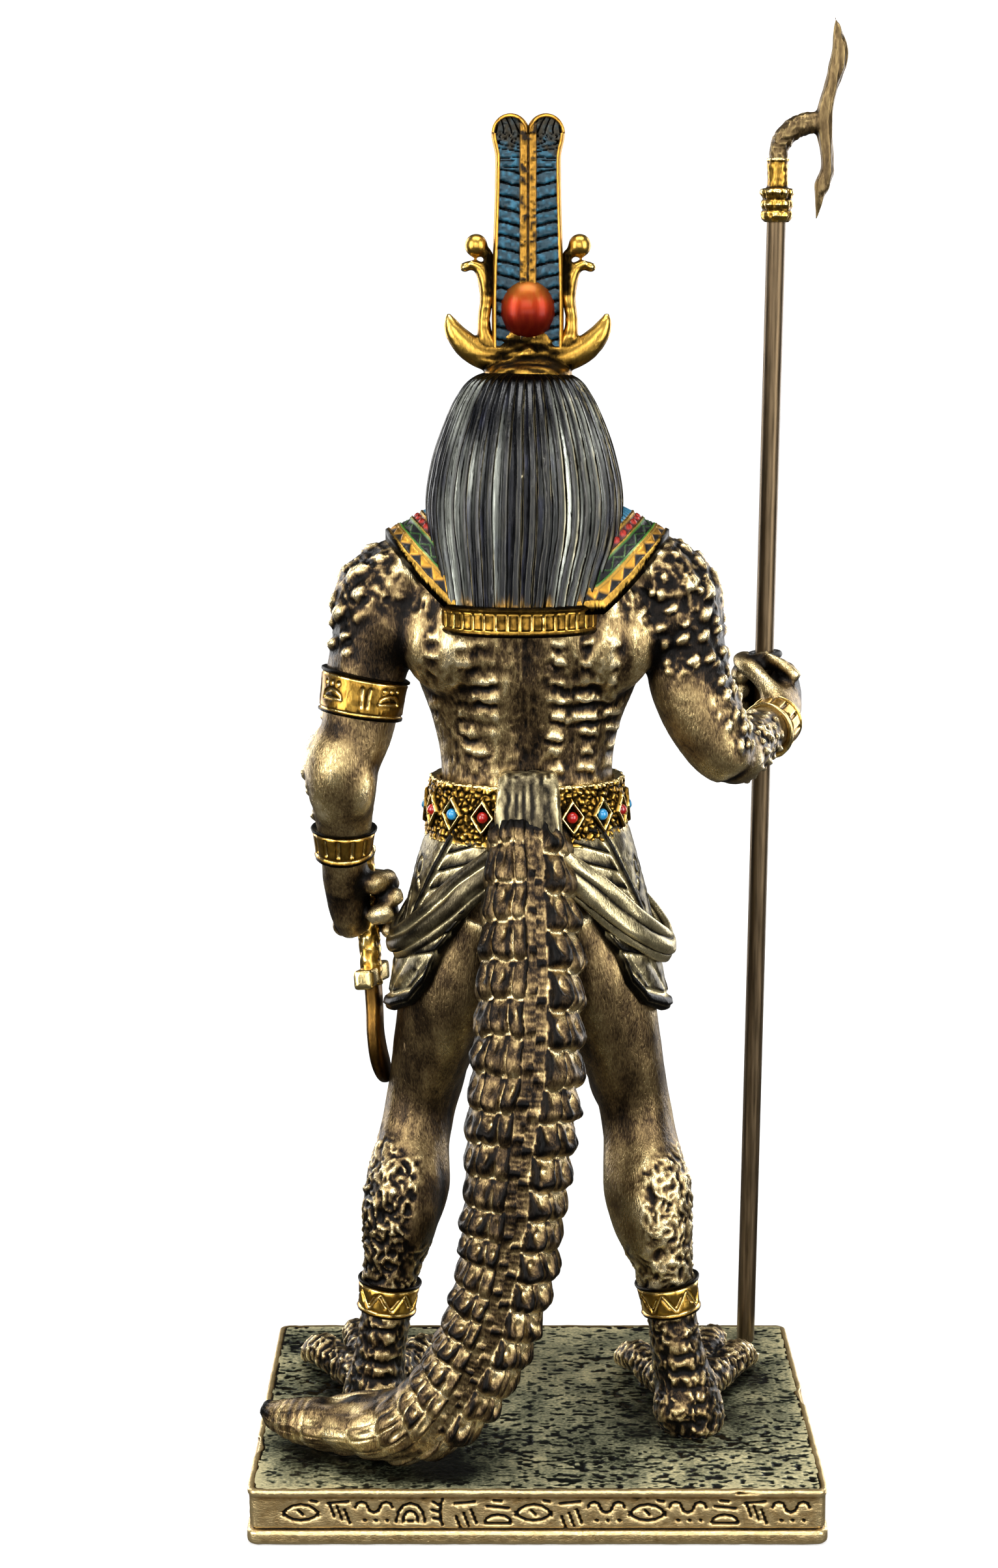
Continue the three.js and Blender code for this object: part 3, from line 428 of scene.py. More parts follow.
def plinth_sides():
    """Rings carried up a profile of (inset, height), softened by a running mean, then pushed in
    by the strokes, by hammered unevenness and by small chips at the edges."""
    profile = np.array([(20, 0.25), (1, 0.02), (0.25, 0.4), (0.1, 1.2), (0.1, 2.6), (0.45, 3.0),
                        (1.2, 3.15), (1.25, 3.4), (0.8, 3.6), (0.72, 4), (0.72, 10), (0.5, 10.35),
                        (0.42, 10.6), (0.36, 11.2), (0.55, 11.5), (1.2, 11.6), (1.9, 11.5)])
    path = evenly(np.c_[profile, np.zeros(len(profile))][1:], 84)[0][:, :2]
    path = np.vstack([path[:1], (path[:-2] + path[1:-1] + path[2:]) / 3, path[-1:]])
    path = np.vstack([[(30, 0.02), (12, 0.02)], path, [(2.4, 11.2), (12, 11.2), (30, 11.2)]])
    count = 1120
    rings = []
    for inset, height in path:
        flat, outward = oblong(inset, count)
        rings.append(np.c_[flat, np.full(count, height)])
    rings = np.array(rings)
    outward = np.c_[outward, np.zeros(count)][None]
    shown = (path[:, 0] < 2.2)[:, None]
    depth = np.zeros(rings.shape[:2])
    for side, (run, along) in enumerate(((PLINTH[0], 0), (PLINTH[1], 1))):
        for sign in (-1, 1):
            face = (np.abs(outward[0, :, 1 - along] - sign) < 0.05)[None] & (
                np.abs(path[:, 1] - 7) < 3.6)[:, None]
            strokes = band_strokes(run - 3, 7 * side + sign + 3)
            depth[face] = carved(rings[face][:, along], rings[face][:, 2] - 6.85, strokes, 0.32)
    hammered = 0.09 * cloudy(rings, 2.4, 3) + 0.05 * cloudy(rings, 0.9, 4) - 0.05
    chips = -0.5 * step(cloudy(rings * [0.5, 0.5, 1], 2.2, 9), 0.62, 0.9)
    edge = (np.abs(path[:, 1] - 11.3) < 0.5) | (np.abs(path[:, 1] - 2.7) < 0.4)
    push = shown * (hammered + chips * edge[:, None] - 0.42 * depth)
    rings = rings + outward * push[..., None]
    rings[..., 2] += shown * (path[:, 1] > 11)[:, None] * 0.05 * cloudy(rings, 1.6, 5)
    return rings


gilt_plinth = worn_bronze(
    "cold_cast_bronze_band",
    [(0, "#0a0805"), (0.26, "#35290f"), (0.46, "#96794a"), (1, "#dcc28c")],
    rough=(0.46, 0.32), spread=0.24, brush=(2, 2, 1), size=0.35, bump=0.35)
add_grid("plinth_sides", plinth_sides(), gilt_plinth, (3.2, 0.1), node="plinth",
         slot="plinth_bronze", keep=0.36)

# Plinth, top face: the same casting, left rough from the mould with short pits, and coloured a
# dark green-grey patina that is rubbed yellowish towards the edges, with painted shadow round
# the feet and the tail.


def plinth_top():
    """A grid over the rounded oblong: the ring shrinks to the middle line, and the height is the
    plinth's, less pits where stretched noise runs high and a soft unevenness."""
    half = np.array(PLINTH[:2]) / 2 - 0.95
    x = np.linspace(-half[0], half[0], 330)
    y = np.linspace(-half[1], half[1], 238)
    grid = spread(x[:, None], y[None, :], 0.0).astype(float)
    over = np.abs(grid[..., :2]) - (half - 1.8)
    both = (over > 0).all(-1)
    round_off = 1.8 / np.maximum(np.linalg.norm(np.maximum(over, 0), axis=-1), 1.8)
    kept = np.where(both[..., None], (half - 1.8) + over * round_off[..., None],
                    np.abs(grid[..., :2]))
    grid[..., :2] = np.sign(grid[..., :2]) * kept
    rim = np.minimum(half - np.abs(grid[..., :2]), 9).min(-1)
    flat = grid * [0.62, 1.25, 1]
    rare = step(cloudy(grid, 16, 8), -0.5, 0.5)
    pits = step(cloudy(flat, 0.72, 1) + 0.2 * cloudy(flat, 2.2, 2), 0.3 - 0.2 * rare, 0.62)
    depth = 0.3 * pits * (0.35 + 0.65 * rare) * step(rim, 0.2, 1.6)
    soft = 0.12 * cloudy(grid, 9, 6) + 0.035 * cloudy(grid, 1.2, 7)
    grid[..., 2] = (SOLE - 0.12 + (soft - 0.1) * step(rim, 0, 2) - depth
                    - 0.25 * (1 - step(rim, 0, 0.7)))
    under = grid[:, [0, -1]]
    under[..., 2] = SOLE - 1.2
    outer = np.concatenate([grid[:, ::-1], under], axis=1)
    return outer, rim, depth


top_rows, rim, pit_depth = plinth_top()
top_mesh = mesh_of("plinth_top", *skin(top_rows))


def patina_green():
    """Green-grey patina: dark in the pits, with painted shadow near the feet and tail, yellowish
    where the edge is rubbed.
    """
    material, shader = new_material("green_patinated_resin", 0.55)
    fine = grain(material, 0.5, 5, (1.4, 1, 1))
    uneven = calc(material, "MULTIPLY", calc(material, "ADD", fine, grain(material, 8, 4)), 0.8)
    shade = calc(material, "ADD", attribute(material, "wear_and_shade"),
                 calc(material, "SUBTRACT", uneven, 0.8), True)
    stops = [(0, "#050604"), (0.32, "#14160e"), (0.5, "#464a38"), (0.7, "#8f8e70"),
             (1, "#e2d7a6")]
    return linked(material, shader, ramp(material, shade, stops),
                  ranged(material, fine, (0.3, 0.7), (0.28, 0.45)), fine, 0.35, 0.0004)


def top_wear_and_shadow():
    """Wear and painted shade of the top: falls with the pits, rises at the rim, and falls in
    painted shadow near the feet, at the tail's end and below the hanging tail.
    """
    x, y = top_rows[..., 0], top_rows[..., 1]
    spots = [(33, 2, 11), (36, -18, 15), (-32, 8, 12), (-34, -14, 14), (20, 31, 9), (32, 28, 9),
             (45, 23, 8)]
    # Painted shadow: dark spots round the feet and under the tail's end.
    shadow = sum(np.exp(-((x - sx) ** 2 + (y - sy) ** 2) / (2 * (r * 0.8) ** 2))
                 for sx, sy, r in spots)
    edge = np.concatenate([rim[:, ::-1], rim[:, :2]], axis=1)
    deep = np.concatenate([pit_depth[:, ::-1], pit_depth[:, :2]], axis=1)
    values = 0.81 - 0.46 * np.minimum(shadow, 1.2) - 4.4 * deep + 0.36 * np.exp(-edge / 1.4)
    # Painted shade: a broad darker patch below the hanging tail.
    values -= 0.1 * np.exp(-((x + 4) ** 2 + (y - 26) ** 2) / 500)
    return values + 0.07 * cloudy(top_rows, 4, 5) - 0.14 * step(cloudy(top_rows, 16, 9), 0, 0.7)


set_wear_and_shade(top_mesh, np.r_[top_wear_and_shadow().ravel(), 0.3, 0.3])
add_piece("plinth_top", top_mesh, patina_green(), "plinth", "plinth_bronze", 0.46)

# Legs and body: the figure's bare skin, part of the one casting. The muscles are smooth and
# rubbed with wire wool. Knobs and ridged plates run over the shoulders, arms and back, and
# rough pebbled hide covers the shins and the three-toed feet.


def spline(stations, count):
    """Rows through the stations by a Catmull-Rom spline on each column."""
    rows = np.asarray(stations, float)
    place = np.linspace(0, len(rows) - 1, count)
    i = np.minimum(place.astype(int), len(rows) - 2)
    f = (place - i)[:, None]
    a, b, c, d = (rows[np.clip(i + k, 0, len(rows) - 1)] for k in (-1, 0, 1, 2))
    return b + 0.5 * f * (c - a + f * (2 * a - 5 * b + 4 * c - d + f * (3 * (b - c) + d - a)))


def frames(rows, side):
    """The centres of a path's rows, and two directions at each: across the path nearest the given
    side, and square to both. Stations are written with the figure's soles at height 0."""
    centre = rows[:, :3] + [0, 0, SOLE]
    along = np.gradient(centre, axis=0)
    along /= np.linalg.norm(along, axis=1, keepdims=True)
    side = np.asarray(side, float)
    across = side - along * (along @ side)[:, None]
    across /= np.linalg.norm(across, axis=1, keepdims=True)
    return centre, across, np.cross(across, along)


def round_path(rows, side, wide, high):
    """Rings round a path: each point's reach across the path, and its reach square to that."""
    centre, across, deep = frames(rows, side)
    return centre[:, None] + wide[..., None] * across[:, None] + high[..., None] * deep[:, None]


def limb(stations, step_size=0.8, side=(1, 0, 0)):
    """Rings through stations (x, y, z, half width, half depth), evenly spaced: an ellipse square
    to the path at each."""
    dense = spline(stations, 24 * len(stations))
    length = evenly(dense, 2)[1][-1]
    rows = evenly(dense, max(4, int(length / step_size)))[0]
    around = max(10, int(2 * math.pi * np.max(rows[:, 3:5]) / step_size))
    angle = np.arange(around) / around * 2 * math.pi
    return round_path(rows, side, rows[:, 3, None] * np.cos(angle),
                      rows[:, 4, None] * np.sin(angle))


def merged(parts):
    """Several closed grids of points as one list of points and faces."""
    points, faces, offset = [], [], 0
    for rings in parts:
        part_points, part_faces = skin(rings)
        points.append(part_points)
        faces += [[corner + offset for corner in face] for face in part_faces]
        offset += len(part_points)
    return np.vstack(points), faces


def fused(name, parts, voxel):
    """Overlapping closed skins as one, by rebuilding them on a grid of voxels."""
    points, faces = merged(parts)
    mesh = bpy.data.meshes.new(name)
    mesh.from_pydata(points, [], faces)
    mesh.update()
    made = modified(mesh, "REMESH", mode="VOXEL", voxel_size=voxel)
    made.transform(Matrix.Scale(0.001, 4))
    made.polygons.foreach_set("use_smooth", [True] * len(made.polygons))
    return made


def ball(centre, radii, tilt=0.0):
    """Rings of an ellipsoid, from pole to pole, tilted about the y axis by some degrees."""
    rise = np.linspace(-1.5, 1.5, 16)[:, None]
    turn = circle(24)[None, :]
    unit = spread(np.cos(rise) * np.cos(turn), np.cos(rise) * np.sin(turn), np.sin(rise))
    shape = unit * radii
    c, s = math.cos(math.radians(tilt)), math.sin(math.radians(tilt))
    turned = np.stack([c * shape[..., 0] + s * shape[..., 2], shape[..., 1],
                       -s * shape[..., 0] + c * shape[..., 2]], -1)
    return turned + centre + [0, 0, SOLE]


def along_limb(points, stations, side):
    """For each point the nearest place on a limb's path: the run along it, the angle round it,
    and the distance from it as a share of the limb's own radius there."""
    rows, run = evenly(spline(stations, 24 * len(stations)), 120)
    centre, across, deep = frames(rows, side)
    nearest = np.empty(len(points), int)
    for start in range(0, len(points), 20000):
        part = points[start:start + 20000]
        square = ((part ** 2).sum(1)[:, None] - 2 * part @ centre.T + (centre ** 2).sum(1)[None])
        nearest[start:start + 20000] = square.argmin(1)
    gap = points - centre[nearest]
    wide = np.einsum("ij,ij->i", gap, across[nearest])
    high = np.einsum("ij,ij->i", gap, deep[nearest])
    angle = np.arctan2(high / rows[nearest, 4], wide / rows[nearest, 3])
    share = np.hypot(high / rows[nearest, 4], wide / rows[nearest, 3])
    return run[nearest], angle, share


def knobs(u, v, pitch, radius, seed, wander=0.35):
    """Rounded knobs in staggered rows over two lengths in millimetres, each a little off its
    place and of its own size: a mound at the nearest one."""
    rise = np.zeros_like(u)
    row = np.round(v / pitch[1])
    for dr in (-1, 0, 1):
        line = row + dr
        column = np.round(u / pitch[0] - 0.5 * (line % 2))
        for dc in (-1, 0, 1):
            spot = np.stack([column + dc, line, np.zeros_like(line)], -1)
            off_u = (scatter(spot, seed) - 0.5) * wander
            off_v = (scatter(spot, seed + 1) - 0.5) * wander
            size = 0.7 + 0.6 * scatter(spot, seed + 2)
            gap = np.hypot(u - (column + dc + 0.5 * (line % 2) + off_u) * pitch[0],
                           v - (line + off_v) * pitch[1])
            rise = np.maximum(rise, size * mound(gap, radius * size))
    return rise


AXIS_X = 2
TORSO = [(2, 0.5, 106, 18, 13), (2, 1, 116, 18.5, 13.6), (2, 0.5, 126, 18, 12.6),
         (2, -0.5, 136, 17.4, 11.9), (2, -0.5, 146, 18.8, 12.5), (1.8, 0, 156, 22.4, 13.8),
         (1.4, 0.5, 166, 24.4, 14.6), (1.4, 0.5, 174, 25.2, 13.6), (1.6, 0, 180, 20, 11.6),
         (2, -0.5, 187, 12, 10)]
LEFT_UPPER = [(24, 1, 177.5, 7, 8), (30.4, 1, 171.5, 9.4, 9.5), (32.4, 1.5, 163, 8.5, 9),
              (34.2, 2, 155, 7.8, 8), (35.8, 2.7, 145, 7.2, 7.5), (38.4, 4, 138.5, 6.9, 7.3)]
LEFT_FOREARM = [(36.9, 4, 143, 6.6, 6.8), (38.8, 4, 138, 7.3, 7.5), (39, 3.6, 133, 7, 7.2),
                (38.8, 1.6, 126, 5.8, 6), (38.9, 0.8, 119, 4.7, 5), (38.6, -1.4, 112, 4.5, 4.8)]
RIGHT_UPPER = [(-20.5, 1, 178, 7, 8), (-26.9, 1, 172, 9.2, 9.5), (-28.9, 1.5, 163, 8.2, 9),
               (-30.4, 2.5, 154.5, 8.2, 8.8), (-33.4, 4, 147, 7.9, 8.2),
               (-36.8, 5.2, 140.5, 6.6, 6.8), (-39.4, 5.4, 136.6, 4.4, 4.6)]
RIGHT_FOREARM = [(-37.8, 6.4, 138, 4.1, 4.1), (-39.4, 2.6, 138.8, 5.6, 5.7),
                 (-42, -4, 139.9, 5.9, 6), (-46, -12, 141.2, 5.2, 5.4),
                 (-49.6, -18, 142.6, 4.4, 4.6), (-51.4, -23, 144, 4.3, 4.7)]
LEFT_LEG = [(11, 0.5, 108, 10.5, 12), (16.4, -0.5, 93, 10.7, 12.3), (20.8, -3.5, 78, 8.6, 10.5),
            (23.3, -4.5, 67, 7.2, 8.5), (24.8, -2.6, 59, 7.2, 7.8), (26.5, 1.3, 50, 8.6, 8.5),
            (28, 3.4, 42.5, 8, 8.1), (29.6, 4.6, 34, 6.1, 6.5), (30.8, 5.2, 24, 5, 5.4),
            (32.2, 5.4, 14, 5.2, 6), (33.4, 4.8, 5, 6.5, 7.6), (33.8, 4.4, -1, 6.8, 8)]
RIGHT_LEG = [(-7, 0.5, 108, 10.5, 12), (-12.6, 0.2, 93, 10.7, 12.3), (-17.2, -0.5, 78, 8.6, 10.5),
             (-19.8, -0.9, 67.5, 7.3, 8.4), (-21.2, 0.9, 59, 7.4, 7.9),
             (-22.9, 5.3, 50.5, 8.8, 8.6), (-24.2, 7.5, 43, 8.1, 8.2), (-26.2, 8.7, 35, 6.2, 6.5),
             (-27.7, 9.3, 26, 5, 5.4), (-29.4, 9.8, 15, 5.3, 6.1), (-31.8, 9.4, 5, 6.6, 7.8),
             (-32.4, 9, -1, 7, 8.4)]
FEET = [((33.6, 0), ((50, -21.5), (40.4, -33), (20, -21.5))),
        ((-32, 5), ((-48, -19.5), (-41, -29.5), (-18.6, -19)))]

skin_bronze = worn_bronze(
    "patinated_cold_cast_bronze",
    [(0, "#050403"), (0.3, "#140e08"), (0.46, "#433421"), (0.62, "#7c6744"), (0.8, "#b29c6c"),
     (1, "#ebd8ab")],
    rough=(0.42, 0.22), spread=0.4, brush=(1, 1, 3.5), size=0.3, bump=0.45)


def toe(root, tip):
    """Stations of one toe: out along the ground from the ankle, up over a knuckle, and down to
    the claw."""
    def at(share, z, thick):
        return (*(np.array(root) + share * (np.array(tip) - root)), z, thick, thick)
    return [at(0, 4.6, 4.2), at(0.3, 4.4, 4), at(0.5, 4, 3.4), at(0.7, 5, 3.3), at(0.86, 3.4, 2.7),
            at(0.95, 1.9, 1.8), at(1, 0.9, 0.8)]


def wrinkles(points, size, seed):
    """Wrinkled hide, about -0.5 to 0.5: crests where slow-bent noise crosses zero, and lumps."""
    bend = np.stack([cloudy(points, size * 1.7, seed + i) for i in range(3)], -1)
    crest = 1 - np.abs(cloudy(points + 0.7 * size * bend, size, seed + 3))
    lumps = cloudy(points + 0.4 * size * bend, size * 0.6, seed + 4)
    return 0.7 * (crest ** 2.2 - 0.45) + 0.4 * lumps


def shin_relief(points, stations, seed):
    """Relief of a leg, in millimetres: soft dents of muscle above, and below the knee wrinkled
    hide in flakes that point down, except for a smooth strip inside the calf. The ankle's
    flakes are smaller."""
    level = points[:, 2] - SOLE
    centre = np.interp(-level, [-row[2] for row in stations], [row[0] for row in stations])
    inner = step(np.sign(centre) * (centre - points[:, 0]), 0.5, 3.5) * step(level, 34, 41)
    ragged = level + 4 * cloudy(points, 5, seed) - 2
    calf = step(ragged, 58, 51) * (1 - inner)
    flakes = 0.8 * wrinkles(points * [0.9, 0.9, 0.85], 1.3, seed) * step(level, 22, 28)
    flakes += 0.35 * cloudy(points, 3, seed + 5) * step(level, 22, 28)
    flakes += 0.65 * wrinkles(points * [1, 1, 0.9], 1.3, seed + 8) * step(level, 28, 22)
    soft = 0.7 * cloudy(points * [1, 1, 0.32], 6, seed + 2) + 0.1 * cloudy(
        points * [1, 1, 0.3], 1.6, seed + 3)
    return calf * flakes + soft * (1 - 0.6 * calf)


def feet_relief(points, root, tips):
    """Rings of hide across each toe, raised between fine grooves, and stacked plates down the
    back of the ankle to the heel."""
    level = points[:, 2] - SOLE
    rise = np.zeros(len(points))
    for tip in tips:
        way = np.array(tip) - root
        length = np.hypot(*way)
        flat = points[:, :2] - root
        run = flat @ way / length
        off = np.abs(flat @ np.array([-way[1], way[0]]) / length)
        mine = step(off, 4.6, 3) * step(run, 8, 12) * step(level, 11, 7)
        rings = np.abs(np.sin(math.pi * (run + 0.15 * level) / 1.9)) ** 0.6 - 0.6
        rise = np.where(mine > 0.01, mine * 0.42 * rings, rise)
    heel = step(points[:, 1] - root[1], 3.5, 7) * step(level, 25, 21)
    stack = np.abs(np.sin(math.pi * level / 3.4)) ** 0.5 - 0.55
    return rise + heel * 0.55 * stack * step(np.abs(points[:, 0] - root[0] * 0.98), 5.5, 2.5)


for side_name, stations, (root, tips), (calf_x, calf_y), seed, calf_tone in (
        ("left", LEFT_LEG, FEET[0], (26.9, 4.6), 11, -0.2),
        ("right", RIGHT_LEG, FEET[1], (-23.2, 8.6), 29, 0.08)):
    parts = [limb(stations, 1)] + [limb(toe(root, tip), 0.8) for tip in tips]
    parts += [ball((stations[9][0], stations[9][1] + 3, 5.2), (5.2, 5.4, 5.6)),
              ball((calf_x + 2.2 * np.sign(calf_x), calf_y, 47), (5.2, 6, 9.5)),
              ball((calf_x - 2.6 * np.sign(calf_x), calf_y, 45.5), (4.6, 5.6, 9)),
              ball((stations[2][0], stations[2][1] - 4, 76), (7, 6.6, 15))]
    leg_mesh = fused(f"leg_{side_name}", parts, 0.52)
    points, normals = smoothed(leg_mesh, 9)
    shift = shin_relief(points, stations, seed) + feet_relief(
        points, np.array(root, float), tips)
    points += normals * shift[:, None]
    points[:, 2] = np.maximum(points[:, 2], SOLE - 0.3)
    moved(leg_mesh, points)
    level = points[:, 2] - SOLE
    add_wear_and_shade(leg_mesh, 1.4, calf_tone * step(level, 56, 50) * step(level, 24, 30)
             - 0.06 * step(level, 54, 62) - 0.3 * step(level, 28, 20))
    add_piece(f"leg_{side_name}", leg_mesh, skin_bronze, keep=0.52)

# Trunk, arms and hands, of the same casting. Each hand closes round what it holds, and ridged
# plates lie in rows beside the spine.


def curl(centre, level, start, stop, reach, thick, drop=0.0):
    """Stations of a finger bent round an upright grip: an arc from one bearing to another, in
    degrees from +X, thinner towards its tip."""
    turn = np.radians(np.linspace(start, stop, 7))
    share = np.linspace(0, 1, 7)
    size = thick * (1.05 - 0.22 * share + 0.1 * np.sin(3 * math.pi * share) ** 2)
    rows = np.c_[centre[0] + reach * np.cos(turn), centre[1] + reach * np.sin(turn),
                 level - drop * share, size, size]
    tip = rows[-1].copy()
    tip[3:] *= 0.45
    tip[:2] += 0.9 * np.array([-math.sin(turn[-1]), math.cos(turn[-1])]) * np.sign(stop - start)
    return np.vstack([rows, tip])


LEFT_GRIP = (34.9, -6.6)
RIGHT_GRIP = (-48.6, -33)
left_hand = [
    [(38.7, -0.6, 115.5, 4.7, 4.9), (38.4, -3, 111, 4.6, 6), (38, -5, 106, 4.3, 6.6),
     (37, -6, 101.6, 3.4, 5)],
    *[curl(LEFT_GRIP, 111.2 - 3.1 * k, 10, -215 + 6 * k, 4.9, 2.1, 0.6) for k in range(4)],
    [(36.8, 0.2, 113, 2.4, 2.6), (33.4, 0.4, 112.6, 2.5, 2.5), (30.8, -2.6, 112.6, 2.2, 2.2),
     (30.6, -6.4, 112.2, 2, 1.9), (31.6, -9, 111.6, 1, 1)],
    [(33.6, -0.8, 105.4, 1.7, 1.7), (31.4, 0.6, 106.3, 2.1, 2.1), (29.6, 0.4, 107.2, 1.7, 1.8)],
    [(31.4, -1.6, 108.2, 1.7, 1.7), (29, -0.4, 109.4, 1.9, 2), (27.2, -0.8, 110, 1.4, 1.5)],
]
right_hand = [
    [(-50, -19.4, 142.8, 4.5, 4.8), (-51.4, -24, 144.6, 4.4, 5.4), (-52.6, -29, 146.2, 3.6, 6.4),
     (-53, -33, 146.4, 2.7, 6.4), (-52.6, -36, 146.2, 1.9, 4.8)],
    *[curl(RIGHT_GRIP, 150.6 - 3.5 * k, 170, 378 - 6 * k, 5, 2.1, 0.4) for k in range(4)],
    [(-50.6, -20.6, 146, 2.6, 2.6), (-47.4, -22, 150.4, 2, 2.2), (-44.4, -25.4, 153, 1.9, 1.7),
     (-43.6, -30.4, 153.6, 1.8, 1.6), (-45.4, -35.4, 153, 1.7, 1.6), (-48.4, -37.8, 152.2, 1, 1)],
    [(-55, -24.6, 150.4, 1.6, 2.4), (-52, -25.4, 153, 1.4, 2.6), (-48.6, -26, 154, 1.1, 2.4),
     (-45, -26.4, 153.6, 1, 2)],
]
BACK_ROWS = [162.4 - 3.65 * i for i in range(9)]


def ledge(x, level, inner, outer, height, thick, seed):
    """A plate that stands out most at its lower edge and fades upwards, from one place across to
    another, its edges wandering: 0 to 1, and below 0 in the hollow under it."""
    wander = 0.7 * cloudy(np.stack([x, level, 0 * x], -1), 1.6, seed)
    up = level - height - 0.7 * wander
    window = step(x + wander, inner - 0.4, inner + 0.4) * step(x + wander, outer + 0.4, outer - 0.4)
    hollow = 0.35 * np.exp(-((up + 0.5) / 0.6) ** 2)
    return window * (step(up, 0, 0.8) * step(up, thick, 0.7) - hollow)


def back_relief(points, normals):
    """Relief of the back, in millimetres: a broad furrow down the spine between two long muscles,
    the shoulder blades, wide ledges on the left of it, three lines of pointed plates on the
    right, and some at both sides."""
    x = points[:, 0] - AXIS_X
    level = points[:, 2] - SOLE
    behind = step(normals[:, 1], 0.05, 0.5) * step(np.abs(x), 25, 22)
    trunk = step(level, 128, 134) * step(level, 180, 172)
    rise = -0.6 * np.exp(-(x / 3.4) ** 2)
    rise += 0.5 * np.exp(-((np.abs(x) - 5.6) / 2.4) ** 2) * step(level, 160, 146)
    rise += 1.1 * np.exp(-((np.abs(x) - 13) / 4.6) ** 2 - ((level - 162) / 6) ** 2)
    rise -= 0.7 * np.exp(-((np.abs(x) - 19) / 2.2) ** 2) * step(level, 150, 158)
    broken = 0.75 + 0.6 * cloudy(points, 3.4, 36)
    for i, height in enumerate(BACK_ROWS):
        own = scatter(np.array([[i, 3, 1]]), 5)[0]
        size = (0.2 + 0.3 * math.sin(math.pi * (i + 1) / 9)) * broken
        bar = ledge(x, level, 5.6 + 0.2 * (i - 3) ** 2, 14.4 - 0.14 * (i - 2) ** 2, height, 3.1, i)
        rise += size * bar
        rise += 0.7 * size * ledge(x, level, 17.4, 20.2 - 0.2 * i, height + 1.2, 2.6, 20 + i)
        for k, place in enumerate((5.6, 11.6, 16.8)):
            jump = scatter(np.array([[i, k, 7]]), 9)[0] - 0.5
            half = 0.9 + 0.5 * own + (0.9 if k == 1 and 2 <= i <= 4 else 0)
            spike = ledge(-x, level, place - half + jump, place + half + jump, height + 0.7 * jump,
                          2.6, 40 + 3 * i + k)
            rise += 0.95 * (size + 0.15) * spike
        if 2 <= i <= 4:
            rise += 0.25 * ledge(-x, level, 6, 15.4, height - 0.4, 2.4, 60 + i)
    rise += 0.22 * wrinkles(points * [1, 1, 0.5], 1.4, 37)
    return behind * trunk * rise


def arm_relief(points, stations, side, knob_runs, seed, pitch=3.9, tall=0.85):
    """Knobs over the outer side of an arm between two runs down it, in staggered rows that stand
    apart on rough skin."""
    run, angle, share = along_limb(points, stations, (side, 0, 0))
    on = step(share, 1.7, 1.35)
    outer = step(np.abs(angle + 0.5), knob_runs[2], knob_runs[2] - 0.5)
    window = step(run, knob_runs[0], knob_runs[0] + 3) * step(run, knob_runs[1] + 3, knob_runs[1])
    bumps = knobs(angle * 8.6 + 0.4 * run, run, (pitch * 1.12, pitch), 0.45 * pitch, seed, 0.75)
    return on * outer * window * (tall * bumps - 0.15 + 0.35 * wrinkles(points, 1.6, seed))


trunk_parts = [
    limb(TORSO, 1), limb(LEFT_UPPER, 0.9), limb(LEFT_FOREARM, 0.9), limb(RIGHT_UPPER, 0.9),
    limb(RIGHT_FOREARM, 0.9),
    *[limb(rows, 0.6) for rows in left_hand + right_hand],
    ball((30.6, 1.6, 167), (9.2, 9.4, 11.4), 12), ball((-27.2, 1.6, 167), (8.8, 9.4, 11.4), -12),
    ball((18, 7.5, 163), (9, 6.6, 11), 14), ball((-14.4, 7.5, 163), (9, 6.6, 11), -14),
    ball((15.5, 5.4, 171.5), (10.5, 8, 6.6), 8), ball((-11.5, 5.4, 171.5), (10.5, 8, 6.6), -8),
    ball((34.6, 6, 157.5), (5.4, 4.2, 10.5), -6), ball((-31.4, 6.8, 153), (5.6, 4.4, 13), 22),
    ball((35.6, 7.4, 134.4), (3.6, 3.6, 7)), ball((41, 5.2, 133), (4.4, 4.8, 8)),
    ball((2, 3, 186), (9, 9, 12)), ball((15, -2, 164), (12, 10, 9)),
    ball((-11, -2, 164), (12, 10, 9)),
]
trunk_mesh = fused("trunk_and_arms", trunk_parts, 0.52)
points, edges, _ = arrays_of(trunk_mesh)
hand = (step(points[:, 2] - SOLE, 117, 114) * (points[:, 0] > 24)
        + step(points[:, 1], -22, -25) * (points[:, 0] < -38))[:, None]
rested = relaxed(points, edges, 14)
points, _, normals = moved(
    trunk_mesh, rested * (1 - hand) + relaxed(points, edges, 2) * hand)
shift = back_relief(points, normals)
for arm in ((LEFT_UPPER, 1, (1, 20, 1.9), 41, 4.2, 1.0),
            (LEFT_UPPER + LEFT_FOREARM[2:], 1, (30, 62, 0.9), 44),
            (RIGHT_UPPER, -1, (1, 23, 1.9), 51, 3.6), (RIGHT_UPPER, -1, (24, 43, 1.0), 54, 3.6),
            (RIGHT_FOREARM, -1, (4, 19, 3), 57, 3.4, 0.75)):
    shift += arm_relief(points, *arm)
shift += 0.3 * cloudy(points * [1, 1, 0.6], 5, 31)
rough_neck = step(points[:, 2] - SOLE, 166, 172) * step(
    np.abs(points[:, 0] - AXIS_X), 12, 16)
shift += 0.5 * rough_neck * wrinkles(points, 2.1, 33) + 0.07 * wrinkles(points, 1.2, 34)
points += normals * shift[:, None]
moved(trunk_mesh, points)
level = points[:, 2] - SOLE
from_spine = np.abs(points[:, 0] - AXIS_X)
spine = np.exp(-(from_spine / 2.6) ** 2) * step(normals[:, 1], 0.2, 0.6) * (
    np.abs(level - 150) < 24)
